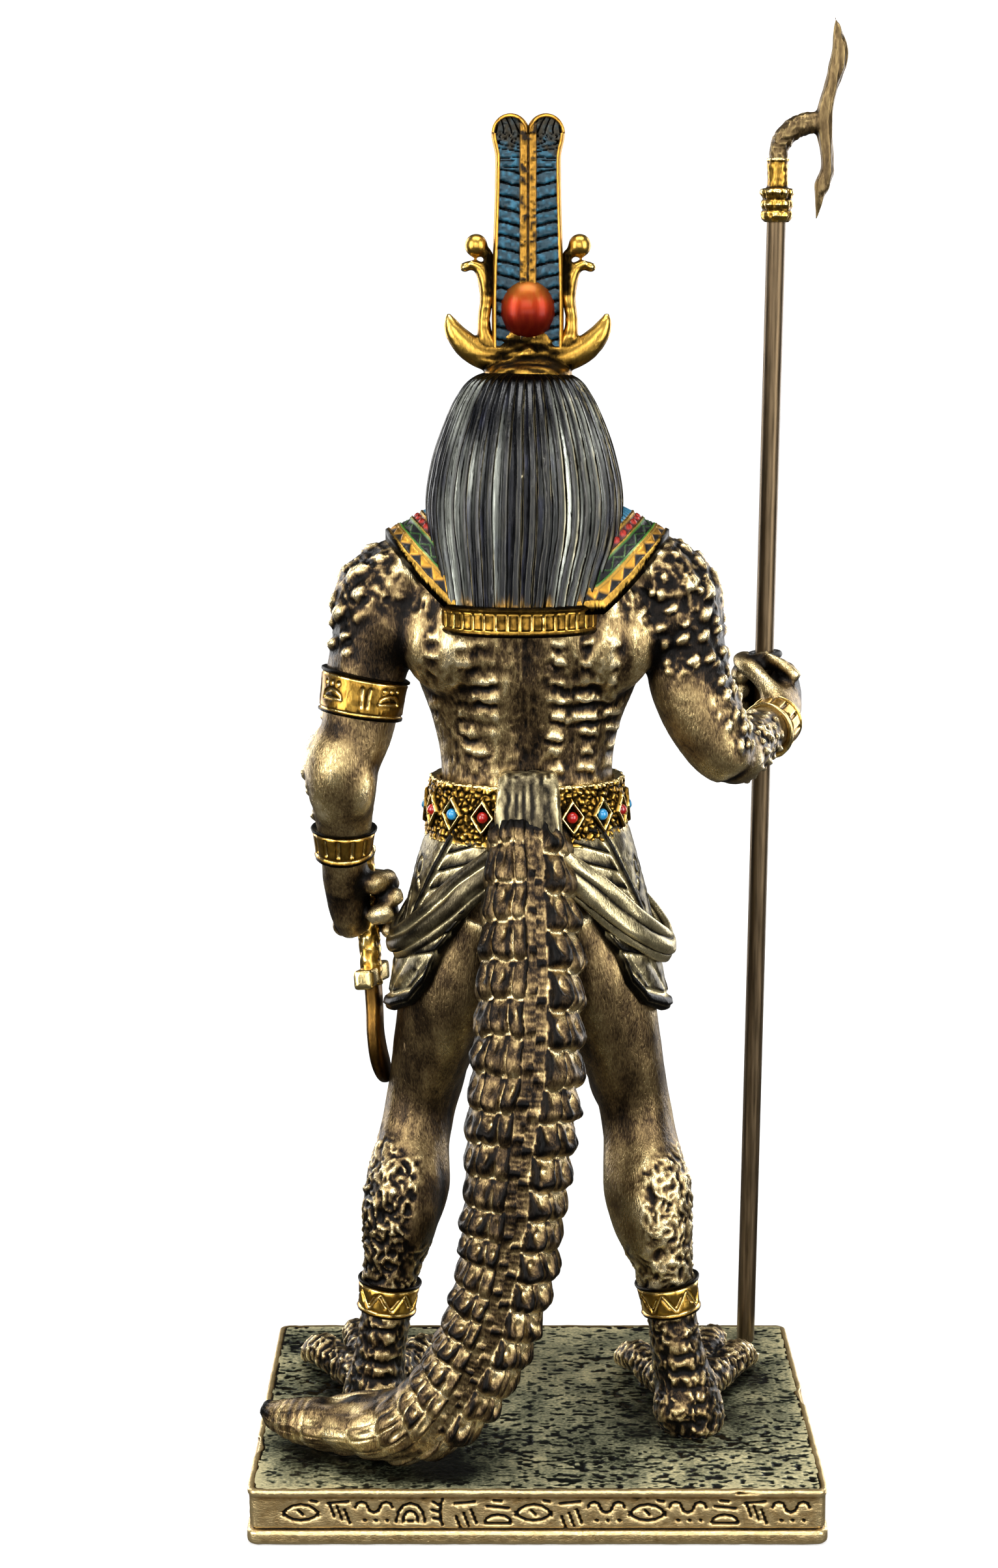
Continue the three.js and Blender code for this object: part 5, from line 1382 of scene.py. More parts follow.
# Head of a crocodile, of the same casting: a long snout with raised eyes and nostrils, jaws
# closed over pointed teeth, and hide in plates on top and pebbles at the sides.
HEAD_X = 2.3
EYE = (8.1, -19.8, 207.2)


def mirrored(rows, middle, sign=1):
    """Stations given by how far they lie to one side of a middle line, in the figure's place."""
    return [(middle + sign * row[0], *row[1:]) for row in rows]


UPPER_JAW = mirrored([(0, -4, 202.5, 10.6, 9), (0, -15, 202.6, 10.8, 8.8),
                      (0, -20.5, 201.4, 9.8, 7.4), (0, -27, 199.2, 7.4, 5),
                      (0, -34, 197.8, 6, 3.9), (0, -40, 197, 6.2, 3.7), (0, -44, 196.6, 5, 3.3),
                      (0, -46.2, 196.2, 2.4, 1.8)], HEAD_X)
LOWER_JAW = mirrored([(0, -6, 195, 9, 5), (0, -16, 194, 9, 4.2), (0, -25, 192.8, 7, 3.1),
                      (0, -35, 191.8, 5.2, 2.4), (0, -42, 191.4, 4.6, 2),
                      (0, -44.8, 191.5, 2, 1.2)], HEAD_X)
head_parts = [limb(UPPER_JAW, 0.8), limb(LOWER_JAW, 0.8)]
for sign in (-1, 1):
    head_parts += [
        ball((HEAD_X + sign * 6.2, -19.4, 207), (2.7, 3.2, 2.7)),
        limb(mirrored([(6.4, -12, 208.6, 2, 1.6), (6.6, -17, 209.6, 1.8, 1.2),
                       (5.8, -21.4, 208.8, 1.5, 1.1), (4, -26.6, 204.4, 1, 0.9),
                       (2.8, -33, 201.4, 0.6, 0.6)], HEAD_X, sign), 0.6),
        ball((HEAD_X + sign * 2.2, -43, 199.6), (1.8, 2, 1.5)),
    ]
head_mesh = fused("crocodile_head", head_parts, 0.4)
points, normals = smoothed(head_mesh, 5)
snout = step(points[:, 1], -8, -12)
near, far = pebbles(points * [1, 0.85, 1], 2.1, 77)
shape = 0.42 * (step(far - near, 0.02, 0.34) - 0.6)
small_near, small_far = pebbles(points, 1.15, 78)
fine = 0.12 * (step(small_far - small_near, 0.02, 0.4) - 0.5)
shape += fine * (1 - step(normals[:, 2], 0.2, 0.6))
dim = 0
for sign in (-1, 1):
    from_eye = np.linalg.norm(points - [HEAD_X + sign * EYE[0], EYE[1], EYE[2] + SOLE], axis=1)
    shape *= 0.15 + 0.85 * step(from_eye, 2.4, 3.8)
    shape -= 0.4 * np.exp(-((from_eye - 2.1) / 0.45) ** 2)
    dim = dim - 0.3 * step(from_eye, 3.6, 2.2)
for sign in (-1, 1):
    gap = (points - [HEAD_X + sign * 2.4, -44, 200.8 + SOLE]) / [0.8, 0.7, 0.8]
    shape -= 0.9 * step(np.linalg.norm(gap, axis=1), 1.4, 0.4)
points += normals * (snout * shape)[:, None]
moved(head_mesh, points)
add_wear_and_shade(head_mesh, 1.1, dim - 0.1)
add_piece("crocodile_head", head_mesh, skin_bronze, keep=0.55)

teeth = []
for sign in (-1, 1):
    for place in np.linspace(0, 1, 9):
        x, y = HEAD_X + sign * (7.9 - 2.9 * place), -23 - 18 * place
        rise = 195.2 - 1.0 * place
        teeth.append(limb([(x, y, rise + 0.8, 0.85, 0.85), (x, y, rise - 0.6, 0.7, 0.7),
                           (x - 0.1 * sign, y, rise - 2.2, 0.15, 0.15)], 0.3))
        teeth.append(limb([(x - 0.3 * sign, y - 1.2, rise - 3, 0.7, 0.7),
                           (x, y - 1.2, rise - 1.6, 0.6, 0.6),
                           (x + 0.1 * sign, y - 1.2, rise - 0.1, 0.12, 0.12)], 0.3))
tooth_mesh = mesh_of("crocodile_teeth", *merged(teeth))
add_wear_and_shade(tooth_mesh, 1, 0.25)
add_piece("crocodile_teeth", tooth_mesh, skin_bronze, keep=0.6)
eyes = [ball(*mirrored([EYE], HEAD_X, sign), (1.6, 1.9, 1.7)) for sign in (-1, 1)]
eye_mesh = mesh_of("crocodile_eyes", *merged(eyes))
add_wear_and_shade(eye_mesh, 1)
add_piece("crocodile_eyes", eye_mesh, gold_paint)

# Wig, of the same casting: long straight locks parted by grooves, painted a navy that is nearly
# black, with a line of gold at each edge of a groove. Its hem is held in a gold band.
WIG = [(2.4, 0, 216, 3, 3), (2.5, 0.6, 214.4, 9.4, 9.6), (2.6, 1.4, 210.5, 12.8, 13),
       (2.6, 2, 205, 15.4, 15.6), (2.6, 2.4, 198.5, 17.6, 17.2), (2.6, 3, 191, 18.9, 17.4),
       (2.7, 5.2, 184, 18.4, 15.2), (3.1, 8, 178, 16.8, 12.4), (3.5, 9.6, 171.6, 15.2, 10.8),
       (3.6, 10, 169, 14.8, 10.4)]
LOCKS = 42


def locks(rows, columns, count):
    """Level rings down the wig, their outline moved out between grooves at set angles. Also how
    deep in a groove each point is, and how near to the gold line on a groove's edge."""
    rows = evenly(spline(rows, 400), columns[0])[0]
    angle = np.linspace(0, 2 * math.pi, columns[1], endpoint=False)[None, :]
    mean = (rows[:, 3] + rows[:, 4])[:, None] / 2
    phase = angle * count / (2 * math.pi)
    sway = 0.06 * cloudy(spread(np.round(phase), rows[:, 2:3] / 9, 0.0), 1, 83)
    off = np.abs(phase + sway - np.round(phase + sway)) * 2 * math.pi * mean / count
    groove = step(off, 0.7, 0.4)
    line = step(off, 0.62, 0.7) * step(off, 0.94, 0.84) * (phase + sway > np.round(phase + sway))
    place = spread(angle * 17, rows[:, 2:3] * 0.16, 0.0)
    fine = cloudy(place, 0.6, 84)
    out = 0.3 + 0.16 * line - 0.7 * groove + 0.04 * fine + 0.12 * np.clip(off - 0.6, 0, 1)
    out = out * step(rows[:, 2:3], 216, 212)
    rings = np.stack([rows[:, 0:1] + (rows[:, 3:4] + out) * np.cos(angle),
                      rows[:, 1:2] + (rows[:, 4:5] + out) * np.sin(angle),
                      rows[:, 2:3] + SOLE + 0 * angle], -1)
    lock = spread(np.floor(phase + sway), 0.0, 0.0)
    return rings, groove, line, fine, scatter(lock, 91)


def navy_layers(rings, groove, line, fine, gold_tips, own=0.5):
    """The wig's paints: a painted highlight of pale pewter in patches over the broad of the locks
    at the wig's left and right sides, gold lines that come and go, black in the grooves, and gold
    traces where the wig meets its band."""
    # Painted highlight: pale metallic pewter in patches on the left and right sides, where the
    # reflections of the side lights fall, stronger on some locks than on others.
    patch = step(cloudy(rings * [1, 1, 0.4], 6, 85) + 1.6 * (own - 0.5), -0.6, 0.5)
    lit = patch * step(np.abs(np.abs(rings[..., 0] - 3) - 10), 7.5, 3)
    return [(lit * 0.95, "#a9aca1", 0.85), (0.25 * step(fine, 0.2, 0.8), "#3a3d5c", 0.3),
            (line * step(cloudy(rings * [1, 1, 0.3], 3, 86), -0.6, 0.3), "#cfc094", 0.95),
            (groove, "#050506", 0), (gold_tips, "#b58a3e", 1)]


wig_grid, groove, line, fine, own = locks(WIG, (130, 630), LOCKS)
tips = step(wig_grid[..., 2] - SOLE, 173.6, 171.2) * step(cloudy(wig_grid, 1.6, 87), -0.1, 0.5)
navy_paint = painted_casting("navy_black_brushed_paint", rough=(0.36, 0.24), brush=(1, 1, 9),
                             rub="#8b887a", streak=0.3)
add_grid("wig", wig_grid, navy_paint, (1.5,),
         (("#0a0c13", 0.1), navy_layers(wig_grid, groove, line, fine, tips, own)), keep=0.58)


def hem_band():
    """Level rings of the wig's gold band: a rolled rail at each edge, blocks between, closed
    above and below."""
    levels = np.r_[np.full(4, 171.4), np.linspace(171.4, 165.6, 44), np.full(4, 165.6)][:, None]
    inset = np.r_[[9, 5, 2, 0.6], np.zeros(44), [0.6, 2, 5, 9]][:, None]
    angle = circle(620)[None, :]
    height = (171.4 - levels) / 5.8
    rail = np.exp(-(np.minimum(height, 1 - height) / 0.13 - 0.9) ** 2 * 1.6)
    run = np.r_[0, np.cumsum(np.hypot(*np.diff(
        [15.4 * np.cos(angle[0]), 11 * np.sin(angle[0])], axis=1)))][None, :]
    gap = wave(run / run[0, -1] * 36)
    blocks = step(gap, 0.14, 0.34) * band(height, 0.24, 0.76, 0.04)
    out = 0.55 * rail + 0.4 * blocks - 0.25 - inset
    noise = cloudy(spread(run, levels, 0.0), 1.1, 88)
    out = out + 0.1 * noise * (inset == 0)
    return spread(3.6 + (15.5 + out) * np.cos(angle), 10.2 + (11.1 + out) * np.sin(angle),
                  levels + SOLE)


add_grid("wig_hem_band", hem_band(), gold_paint, (1.7,), keep=0.34)


def lappet(sign):
    """A flat limb down the chest, its front in locks parted by grooves along it, with its end
    painted gold. Also the covers of its paints."""
    rows = evenly(spline(mirrored([(11, -4, 204, 2.4, 2.4), (14, -6.6, 197, 4.2, 3.4),
                                   (14.2, -10.6, 188, 4.8, 3), (12, -15.4, 172, 5, 2.1),
                                   (11.6, -16.4, 159, 5.2, 1.9)], 2.4, sign), 200), 150)[0]
    angle = circle(180)[None, :]
    square = bulged(np.cos(angle), 0.6)
    flat = bulged(np.sin(angle), 0.6)
    off = off_line(square * rows[:, 3:4], 2.1)
    end = step(rows[:, 2:3], 163.6, 163) + 0 * angle
    level = rows[:, 2:3]
    groove = step(off, 0.4, 0.12) * (1 - end)
    line = step(off, 0.36, 0.44) * step(off, 0.66, 0.54) * (1 - end)
    bars = end * step(off_line(level - 159, 1.5) / 1.5, 0.3, 0.14)
    out = 0.2 - 0.45 * groove + 0.12 * line + 0.25 * end - 0.3 * bars
    rings = round_path(rows, (1, 0, 0), (rows[:, 3:4] + out * 0.3) * square,
                       (rows[:, 4:5] + out) * flat)
    fine = cloudy(rings * [1, 1, 0.16], 0.5, 89)
    return rings, navy_layers(rings, groove, line, fine, end * (1 - 0.8 * bars), 0.2)


for side_name, sign in SIDES:
    lappet_grid, lappet_paint = lappet(sign)
    add_grid(f"wig_lappet_{side_name}", lappet_grid, navy_paint, (1.2,),
             (("#10131d", 0.25), lappet_paint), keep=0.25)

# Crown, of the same casting: twin plumes on ram's horns, with a sun disc before them and a
# cobra with a small disc on its head at each side. Gold paint, and blue on the plumes' vanes.
PLUME_FOOT, PLUME_TOP, LOBE = 218, 264, 3.75


def plume(sign):
    """Level rings up a plume, across its back and then its front. Its outline is straight with a
    slight waist and a round lobe at the top. A rim and a quill stand up round the vane, which is
    cut by barbs that slant up and outwards. Also the covers of its paints."""
    lobe = PLUME_TOP - LOBE
    level = np.r_[np.linspace(PLUME_FOOT, lobe, 200), lobe + LOBE * np.sin(
        np.linspace(0.02, math.pi / 2, 34))][:, None]
    chord = np.sqrt(np.maximum(LOBE ** 2 - np.maximum(0, level - lobe) ** 2, 0))
    inner = np.where(level > lobe, LOBE - 0.3 - chord, -0.3)
    low = (lobe - level) / (lobe - PLUME_FOOT)
    waist = np.where(level > lobe, 0, -0.75 * step(low, 0, 0.11) + 0.7 * step(low, 0.1, 0.8))
    outer = LOBE - 0.45 + chord + waist
    share = (1 - np.cos(np.linspace(0, math.pi, 64))) / 2
    share = 0.5 * share + 0.5 * np.linspace(0, 1, 64)
    share = np.r_[share, share[-2:0:-1]][None, :]
    face = np.r_[np.ones(64), -np.ones(62)][None, :]
    x = inner + (outer - inner) * share
    edge = np.where(level > lobe, LOBE - np.hypot(x - LOBE + 0.3, level - lobe) + 0.15, outer - x)
    rim = step(edge, 1.0, 0.75)
    quill = step(x, 1.75, 1.4) * step(level, lobe + 3, lobe + 1)
    groove = step(x, 0.35, 0.1)
    slope = 0.22 + 1.3 * step(level, lobe - 5, lobe + 3)
    slant = (level - slope * x) / (2.5 - 0.8 * step(level, lobe - 7, lobe))
    ragged = 0.06 * cloudy(spread(x, level, 0.0), 1, 4)
    barbs = step(wave(slant + ragged), 0.3, 0.14) * (1 - rim) * (1 - quill)
    place = spread(x * sign * 1.0, level * 1.0, face * 3.0)
    pits = cloudy(place, 0.6, 96)
    thick = 1.35 + 0.45 * rim + 0.6 * quill - 0.4 * barbs - 0.35 * groove
    thick = thick + 0.1 * pits * (quill + 0.4) + 0.06 * cloudy(place * [1, 3, 1], 0.9, 97)
    close = np.clip(edge / 0.75, 0, 1)
    y = face * thick * np.sqrt(1 - (1 - close) ** 2)
    rings = spread(AXIS_X + sign * x, y, level + SOLE)
    vane = (1 - rim) * (1 - quill)
    bare = step(cloudy(place, 1.1, 98) + 1.6 * step(level, lobe - 6, lobe + 1), 0.5, 1.1)
    # Painted shadow of the sun disc: the vane is darkened in a ring round the disc's edge.
    sun = step(np.hypot(x, level - 227), 9, 6)
    return rings, [
        (vane, "#10303c", 0.15), (vane * step(pits, 0, 0.8), "#225a70", 0.1),
        (vane * bare * 0.85, "#2c220d", 0.7), (vane * sun * 0.6, "#0b1c24", 0.1),
        (barbs, "#050607", 0), (groove, "#0d0a06", 0.4), (quill * 0.5, "#5a4118", 0.9),
        (quill * step(pits, 0.1, 0.5), "#1c1308", 0.7)]


for side_name, sign in SIDES:
    plume_grid, plume_paint = plume(sign)
    add_grid(f"plume_{side_name}", plume_grid, hand_paint, (1.2,), ((GOLD, 1), plume_paint),
             keep=0.36)

crown_parts = [
    limb(mirrored([(0, 0.4, 212.5, 8.6, 8.6), (0, 0.2, 214.8, 8.6, 7.6), (0, 0, 217, 7.4, 4.6),
                   (0, 0, 220.5, 6, 2.4), (0, 0, 223, 4.6, 1.8)], AXIS_X), 0.6),
    ball((AXIS_X, 2.6, 218.6), (2, 1.6, 1.8)), ball((AXIS_X, -2.6, 218.6), (2, 1.6, 1.8)),
]
for sign in (-1, 1):
    crown_parts += [
        limb(mirrored([(0, 0, 218.4, 2.2, 2), (4, 0, 217.7, 2.7, 2.4), (7.8, 0, 217.9, 2.7, 2.5),
                       (11.2, 0, 219.6, 2.6, 2.4), (13.8, 0, 222.2, 2.1, 2),
                       (15, 0, 224.4, 1.4, 1.4), (15.5, 0, 226.4, 0.4, 0.4)],
                      AXIS_X, sign), 0.5, (0, 0, 1)),
        limb(mirrored([(6.4, 0, 218.6, 2, 1.7), (8.2, 0, 222, 1.5, 1.7), (8.5, 0, 225.4, 1.2, 1.7),
                       (8.0, 0, 229, 1.35, 1.9), (8.2, 0, 232.4, 1.5, 1.9),
                       (9.3, 0, 234.9, 1.2, 1.5), (11, 0, 235.5, 1, 1.2),
                       (12.7, 0, 234.9, 0.75, 0.9)], AXIS_X, sign), 0.4),
        *[ball(*mirrored([spot], AXIS_X, sign), radii) for spot, radii in (
            ((12.2, 0, 235.1), (1.05, 1.3, 1)), ((10.9, 0.9, 235.9), (0.6, 0.6, 0.6)),
            ((10.9, -0.9, 235.9), (0.6, 0.6, 0.6)))],
        limb(mirrored([(7, 0, 232, 1, 1.2), (7.6, 0, 237, 1.1, 1.2), (9.4, 0, 239, 1, 1.2)],
                      AXIS_X, sign), 0.5),
        ball((AXIS_X + sign * 10, 0, 239.2), (2.25, 2.2, 2.3)),
    ]
crown_mesh = fused("crown_horns_and_cobras", crown_parts, 0.3)
points, normals = smoothed(crown_mesh, 4)
streaks = cloudy(points * [0.25, 1, 1], 0.8, 99)
aside, level = np.abs(points[:, 0] - AXIS_X), points[:, 2] - SOLE
on_ball = step(np.hypot(aside - 10, level - 239.2), 2.6, 2.2)
centre = step(aside, 11, 4)
points += normals * ((0.04 + 0.12 * centre) * streaks * (1 - on_ball))[:, None]
points = moved(crown_mesh, points)[0]
# Painted shade: the cobras' faces that look in towards the plumes, above the horns, are darkened by
# the gap term.
gap = step(np.abs(points[:, 0] - AXIS_X), 8.6, 7.6) * step(points[:, 2] - SOLE, 229, 231)
add_wear_and_shade(crown_mesh, 1.2, 0.02 - 0.6 * gap - 0.3 * centre * (0.6 + step(streaks, 0.2, -0.5)))
add_piece("crown_horns_and_cobras", crown_mesh, gold_paint, keep=0.58)

# Sun disc: a low dome on both faces of the plumes, in brick-red gloss lacquer over the bronze.


def red_lacquer():
    """Brick-red lacquer, thin at the top so that the bronze shows through in streaks."""
    material, shader = new_material("brick_red_gloss_lacquer", 0.9, Roughness=0.45,
                                    Coat_Weight=0.1, Coat_Roughness=0.15)
    height = add_node(material, "ShaderNodeSeparateXYZ", {
        "Vector": add_node(material, "ShaderNodeTexCoord").outputs["Object"]}).outputs["Z"]
    share = ranged(material, height, ((SOLE + 226) / 1000, (SOLE + 235) / 1000), (0, 1))
    thin = calc(material, "ADD", share, calc(
        material, "MULTIPLY", grain(material, 1, 4, (1, 1, 6)), 0.5))
    return linked(material, shader, ramp(
        material, thin, [(0.2, "#6e1405"), (0.5, "#8e2a0a"), (0.85, "#8d5118")]))


add_grid("sun_disc", ball((AXIS_X, 0, 227), (5.5, 4.4, 5.9)), red_lacquer())

# Staff: a stock metal rod in satin bronze lacquer, pushed through the fist into the plinth.
STAFF_FOOT = np.array([-47.5, -33, 0])
STAFF_GRIP = np.array([-48.6, -33, 144.6])
STAFF_LINE = (STAFF_GRIP - STAFF_FOOT) / np.linalg.norm(STAFF_GRIP - STAFF_FOOT)
ROD_RADIUS = 1.95
HEAD_SEAT = 244


def on_staff(points):
    """Points of the staff's own frame, +Z along it from the plinth's top, in the figure's."""
    up = STAFF_LINE
    along_x = np.array([1, 0, 0]) - up[0] * up
    along_x /= np.linalg.norm(along_x)
    return (STAFF_FOOT + [0, 0, SOLE] + points[..., :1] * along_x
            + points[..., 1:2] * np.cross(up, along_x) + points[..., 2:] * up)


def turned(profile, around=72):
    """Rings turned round the Z axis from (radius, height) points."""
    profile = np.asarray(profile, float)
    angle = circle(around)
    return np.stack([profile[:, :1] * np.cos(angle), profile[:, :1] * np.sin(angle),
                     np.repeat(profile[:, 1:], around, 1)], -1)


def satin_bronze():
    """Satin lacquer with bronze powder on drawn rod: fine marks along it and a soft sheen."""
    material, shader = new_material("satin_bronze_lacquer", 0.9)
    marks = grain(material, 0.5, 4, (1, 1, 20))
    return linked(material, shader, ramp(material, marks, [(0.3, "#4a3d2b"), (0.7, "#6f5d45")]),
                  ranged(material, marks, (0.3, 0.7), (0.34, 0.46)))


rod_profile = [(0.3, -2.7), (ROD_RADIUS - 0.1, -2.6), (ROD_RADIUS, -2.4),
               *[(ROD_RADIUS, z) for z in np.linspace(-2, HEAD_SEAT + 4.6, 40)],
               (ROD_RADIUS - 0.1, HEAD_SEAT + 4.9), (0.3, HEAD_SEAT + 5)]
add_grid("staff_rod", on_staff(turned(rod_profile)), satin_bronze(), node="staff_shaft",
         slot="shaft_metal", keep=0.5)

# Staff's head: cast resin, pushed on the rod. The neck bends over into a tall blade with a long
# hooked end. The collar below is gold-painted.
head_bronze = worn_bronze(
    "brown_cast_bronze",
    [(0, "#0d0a05"), (0.3, "#2a2013"), (0.55, "#57462c"), (1, "#a08a5c")],
    rough=(0.46, 0.32), spread=0.3, brush=(1, 1, 4), size=0.4, bump=0.35)
LEFT_EDGE = [(-10.5, 41), (-10.3, 39.7), (-10.2, 37.3), (-10.1, 33.6), (-9.5, 30.6), (-8.8, 28.1),
             (-7.9, 24.8), (-7.2, 21.5), (-7.4, 17.5), (-8.1, 14), (-8.5, 10.8), (-8.2, 9.4),
             (-7.3, 8.4), (-7.4, 6.6), (-7.6, 4.4), (-7.9, 0.6)]
RIGHT_EDGE = [(-10.9, 40.9), (-11.9, 39), (-13.1, 36.8), (-13.9, 34.6), (-13.6, 32), (-12.5, 28.1),
              (-11.7, 25.7), (-11.2, 22), (-11.2, 18.7), (-11.4, 15.6), (-11.7, 12.4),
              (-11.8, 10.6), (-11.2, 7.6), (-10.2, 4.7), (-9.3, 1.9), (-8.3, 0.2)]


def blade_rings():
    """Ellipses between the blade's two measured edges, deepest in the middle of its length."""
    left, right = spline(LEFT_EDGE, 110), spline(RIGHT_EDGE, 110)
    middle, half = (left + right) / 2, np.abs(left[:, 0] - right[:, 0]) / 2
    share = np.linspace(0, 1, 110)
    deep = 1.9 * np.clip(np.sin(math.pi * np.clip(share, 0.02, 0.98)) * 2.2, 0.12, 1)
    angle = circle(64)
    return np.stack([middle[:, :1] + half[:, None] * np.cos(angle),
                     deep[:, None] * np.sin(angle),
                     np.repeat(middle[:, 1:], 64, 1) + 0 * angle], -1)


NECK = [(0, 0, 11.5, 1.85, 1.85), (-0.1, 0, 14.4, 1.9, 1.9), (-1.2, 0, 17, 2.1, 2.1),
        (-3.4, 0, 18.9, 2.2, 2.2), (-6, 0, 19.8, 2.4, 2.1), (-9, 0, 20, 2.4, 1.6)]
neck = limb(NECK, 0.6) - [0, 0, SOLE]
head_mesh = fused("staff_head_casting", [
    on_staff(part + [0, 0, HEAD_SEAT]) for part in (neck, blade_rings())], 0.25)
points, normals = smoothed(head_mesh, 5)
grooves = cloudy(points * [1, 1, 0.12], 0.75, 61)
on_neck = step(points[:, 0], -56.5, -54.5)
points += normals * (0.26 * (grooves - 1) * (1 - on_neck)
                     + on_neck * 0.35 * wrinkles(points, 1.2, 62))[:, None]
moved(head_mesh, points)
add_wear_and_shade(head_mesh, 1.3)
add_piece("staff_head_casting", head_mesh, head_bronze, "staff_head", "staff_head_bronze", 0.6)


def staff_collar_rings():
    """The collar turned from its profile, its three rings cut into beads round the axis, and
    the plain sleeve above."""
    profile = np.array([(2.05, 0), (2.5, 0.05), (2.9, 0.5), (3.25, 1.2), (3.2, 1.9), (2.9, 2.4),
                        (3.1, 2.9), (3.4, 3.5), (3.2, 4.2), (2.9, 4.6), (3.15, 5.2), (3.55, 5.9),
                        (3.45, 6.5), (2.9, 6.8), (2.35, 6.85), (2.2, 7), (2.1, 7.4), (2.08, 9.6),
                        (2.1, 12.1), (2.3, 12.4), (2.2, 12.8), (1.6, 12.9)])
    profile = evenly(np.c_[profile, np.zeros(len(profile))], 90)[0][:, :2]
    rings = turned(profile, 96)
    angle = circle(96)[None, :]
    height = profile[:, 1:]
    out = np.zeros(rings.shape[:2])
    for level, count, amount in ((1.5, 9, 0.16), (3.5, 10, 0.28), (6, 11, 0.38)):
        near = np.exp(-((height - level) / 0.75) ** 2)
        out += near * amount * (np.abs(np.sin(count * angle / 2 + level)) ** 0.6 - 0.7)
    out += 0.12 * cloudy(rings, 0.7, 65)
    rings[..., 0] += out * np.cos(angle)
    rings[..., 1] += out * np.sin(angle)
    return on_staff(rings + [0, 0, HEAD_SEAT])


add_grid("staff_collar", staff_collar_rings(), gold_paint, (2.4,), node="staff_head",
         slot="staff_head_bronze", keep=0.7)

# Rubber ring: a plain black ring that grips the rod above the fist, a little askew.


def rubber_ring():
    """A ring of round section turned round the staff, tilted by five degrees."""
    around = circle(96)[:, None]
    section = circle(28)[None, :]
    radius = ROD_RADIUS + 0.36 + 0.75
    out = radius + 0.74 * np.cos(section)
    tilt = math.radians(5)
    x, y, z = out * np.cos(around), out * np.sin(around), 0.74 * np.sin(section) + 0 * around
    points = np.stack([x * math.cos(tilt) + z * math.sin(tilt), y,
                       z * math.cos(tilt) - x * math.sin(tilt)], -1)
    lift = 144.6 + 1.08 * 7.8 + 0.3 + 0.75 + radius * math.sin(tilt)
    return on_staff(points + [0, 0, lift])


black_rubber, rubber_shader = new_material("black_nitrile_rubber", 0, Roughness=0.55)
linked(black_rubber, rubber_shader, ramp(black_rubber, grain(black_rubber, 0.6, 3),
                                         [(0.3, "#0d0d0d"), (0.8, "#2a2a29")]))
add_grid("rod_ring", rubber_ring(), black_rubber, hoop=True, node="rubber_ring",
         slot="black_rubber")

# Sickle sword: cast resin, its handle through the left fist. The handle and guard are painted
# gold over a pitted ground, and the blade is streaked and worn to brown.
SWORD_GUARD = np.array([33.8, -4.6, 92])
SWORD_GRIP = np.array([34.9, -6.6, 108.4])


def on_sword(points):
    """Points of the sword's own frame, +Z up the handle and +X the way the blade curves."""
    up = SWORD_GRIP - SWORD_GUARD
    up = up / np.linalg.norm(up)
    forward = np.array([-0.2, -0.98, 0]) / math.hypot(0.2, 0.98)
    forward = forward - forward @ up * up
    forward /= np.linalg.norm(forward)
    return (SWORD_GUARD + [0, 0, SOLE] + points[..., :1] * forward
            + points[..., 1:2] * np.cross(up, forward) + points[..., 2:] * up)


def guard_rings():
    """A bar with softened corners: rounded oblong sections from one end to the other."""
    place = np.array([-7.5, -7.4, -7.1, -5, 0, 5, 7.1, 7.4, 7.5])[:, None]
    size = np.array([0.4, 0.86, 1, 0.96, 0.9, 0.96, 1, 0.86, 0.4])[:, None]
    angle = circle(64)[None, :]
    y = 1.9 * size * bulged(np.cos(angle), 0.35)
    z = 2.0 * size * bulged(np.sin(angle), 0.35)
    return spread(place, y, z)


def sword_blade():
    """Ellipses along a curved path: thin across and deep, ending in a rounded point."""
    rows = spline([(0.6, 0, -1, 1.6, 2.7), (0.4, 0, -7, 1.6, 2.5), (-0.2, 0, -12, 1.55, 2.9),
                   (1.2, 0, -17, 1.5, 3.4), (4.8, 0, -20.6, 1.2, 2.9),
                   (9.8, 0, -22.4, 0.5, 0.9)], 100)
    angle = circle(56)
    return round_path(rows, (0, 1, 0), rows[:, 3, None] * bulged(np.cos(angle), 0.6),
                      rows[:, 4, None] * bulged(np.sin(angle), 0.7)) - [0, 0, SOLE]


handle = turned([(0.3, -2), (2.1, -2), *[(2.2, z) for z in np.linspace(-1.6, 24.6, 90)],
                 (2.6, 25.6), (2.6, 26.6), (1.6, 27.2), (0.3, 27.4)], 64)
pitted = cloudy(handle, 0.8, 67) + 0.6 * cloudy(handle, 1.7, 68)
handle *= 1 + 0.09 * np.clip(pitted, -1, 0.6)[..., None] * [1, 1, 0]
hilt_mesh = mesh_of("sword_hilt", *merged([on_sword(handle), on_sword(guard_rings())]))
add_wear_and_shade(hilt_mesh, 2.4)
add_piece("sword_hilt", hilt_mesh, gold_paint, "sickle_sword", "sword_gold", 0.6)
blade_gold = painted_gold(
    "worn_gold_blade",
    [(0, "#2c1d0c"), (0.35, "#6d4e22"), (0.6, "#9a7431"), (1, "#d6ae5c")], spread=0.32, size=0.7)
add_grid("sword_blade", on_sword(sword_blade()), blade_gold, (2.4,), node="sickle_sword",
         slot="sword_gold", keep=0.5)

# Studio: a plain pale floor and a pale surround, with broad soft lights.
WHITE = linear("#ffffff")


def stage_piece(name, mesh, colour, glow):
    """A floor or surround, in a plain colour with some light of its own, hidden from what the
    figure mirrors."""
    material, shader = new_material(name + "_white", 0, Base_Color=colour, Roughness=0.8,
                                    Emission_Color=WHITE, Emission_Strength=glow)
    mesh.materials.append(material)
    piece = bpy.data.objects.new(name, mesh)
    bpy.context.collection.objects.link(piece)
    piece.visible_glossy = piece.visible_diffuse = False
    return piece, material, shader


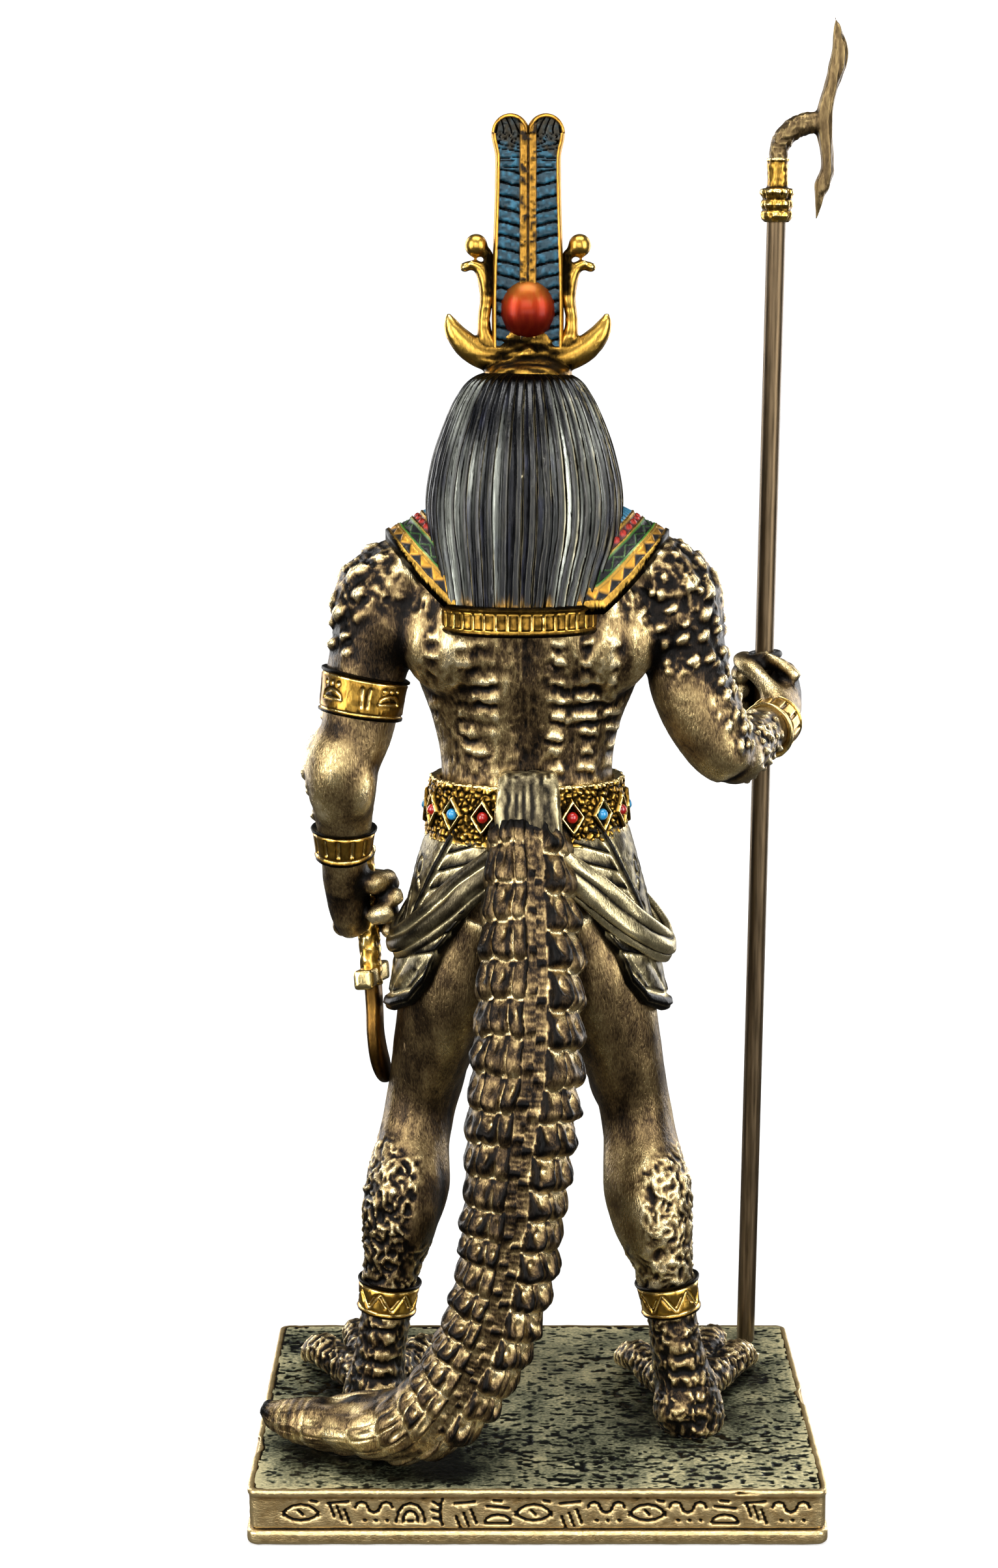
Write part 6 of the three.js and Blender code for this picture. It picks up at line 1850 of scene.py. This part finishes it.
rim = np.array([(4 * math.cos(turn), 4 * math.sin(turn), 0) for turn in circle(96)])
floor_mesh = bpy.data.meshes.new("floor")
floor_mesh.from_pydata(rim, [], [list(range(96))])
_, floor_paint, floor_shader = stage_piece("floor", floor_mesh, linear("#b0b0ae"), 0)
away = add_node(floor_paint, "ShaderNodeVectorMath", {
    0: add_node(floor_paint, "ShaderNodeTexCoord").outputs["Object"]}, operation="LENGTH")
floor_paint.node_tree.links.new(
    ranged(floor_paint, away.outputs["Value"], (0.15, 1.6), (0.5, 1.05)),
    floor_shader.inputs["Emission Strength"])

dome_turn = circle(96)[None, :]
dome_rise = np.linspace(-0.2, math.pi / 2 - 0.02, 30)[:, None]
dome_rings = 3900 * spread(np.cos(dome_rise) * np.cos(dome_turn),
                           np.cos(dome_rise) * np.sin(dome_turn), np.sin(dome_rise))
dome = stage_piece("surround", mesh_of("surround", *skin(dome_rings)), WHITE, 1.05)[0]
dome.visible_shadow = dome.visible_transmission = False

world = bpy.context.scene.world or bpy.data.worlds.new("studio")
bpy.context.scene.world = world
world.use_nodes = True
world.node_tree.nodes["Background"].inputs["Color"].default_value = linear("#f3f3f0")
world.node_tree.nodes["Background"].inputs["Strength"].default_value = 0.06


def soft_light(name, place, size, watts):
    """An oblong soft box that looks at the figure's middle."""
    light = bpy.data.lights.new(name, "AREA")
    light.shape, light.size, light.size_y, light.energy = "RECTANGLE", *size, watts
    lamp = bpy.data.objects.new(name, light)
    bpy.context.collection.objects.link(lamp)
    lamp.location = place
    way = Vector((0, 0, 0.14)) - Vector(place)
    lamp.rotation_euler = way.to_track_quat("-Z", "Y").to_euler()


for name, place, size, watts in (
        ("left_box", (0.85, 0.6, 0.4), (0.45, 1.0), 13),
        ("right_box", (-0.85, 0.65, 0.4), (0.45, 1.0), 12),
        ("back_box", (0.1, 1.25, 0.65), (0.8, 0.5), 8),
        ("low_back_box", (0, 1.2, 0.14), (1.0, 0.24), 3),
        ("top_box", (0, 0.2, 1.0), (0.7, 0.4), 8),
        ("front_left_box", (0.75, -0.75, 0.35), (0.4, 1.0), 8),
        ("front_right_box", (-0.75, -0.75, 0.35), (0.4, 1.0), 8)):
    soft_light(name, place, size, watts)

# Camera, at the photograph's place behind the figure and a little above its middle.
camera_data = bpy.data.cameras.new("camera")
camera_data.lens = 60.43
camera = bpy.data.objects.new("camera", camera_data)
bpy.context.collection.objects.link(camera)
camera.location = (0.007586, 0.519455, 0.249109)
camera.rotation_euler = (math.radians(90 - 11.363), 0, math.radians(180))
bpy.context.scene.camera = camera
bpy.context.scene.view_settings.view_transform = "Standard"
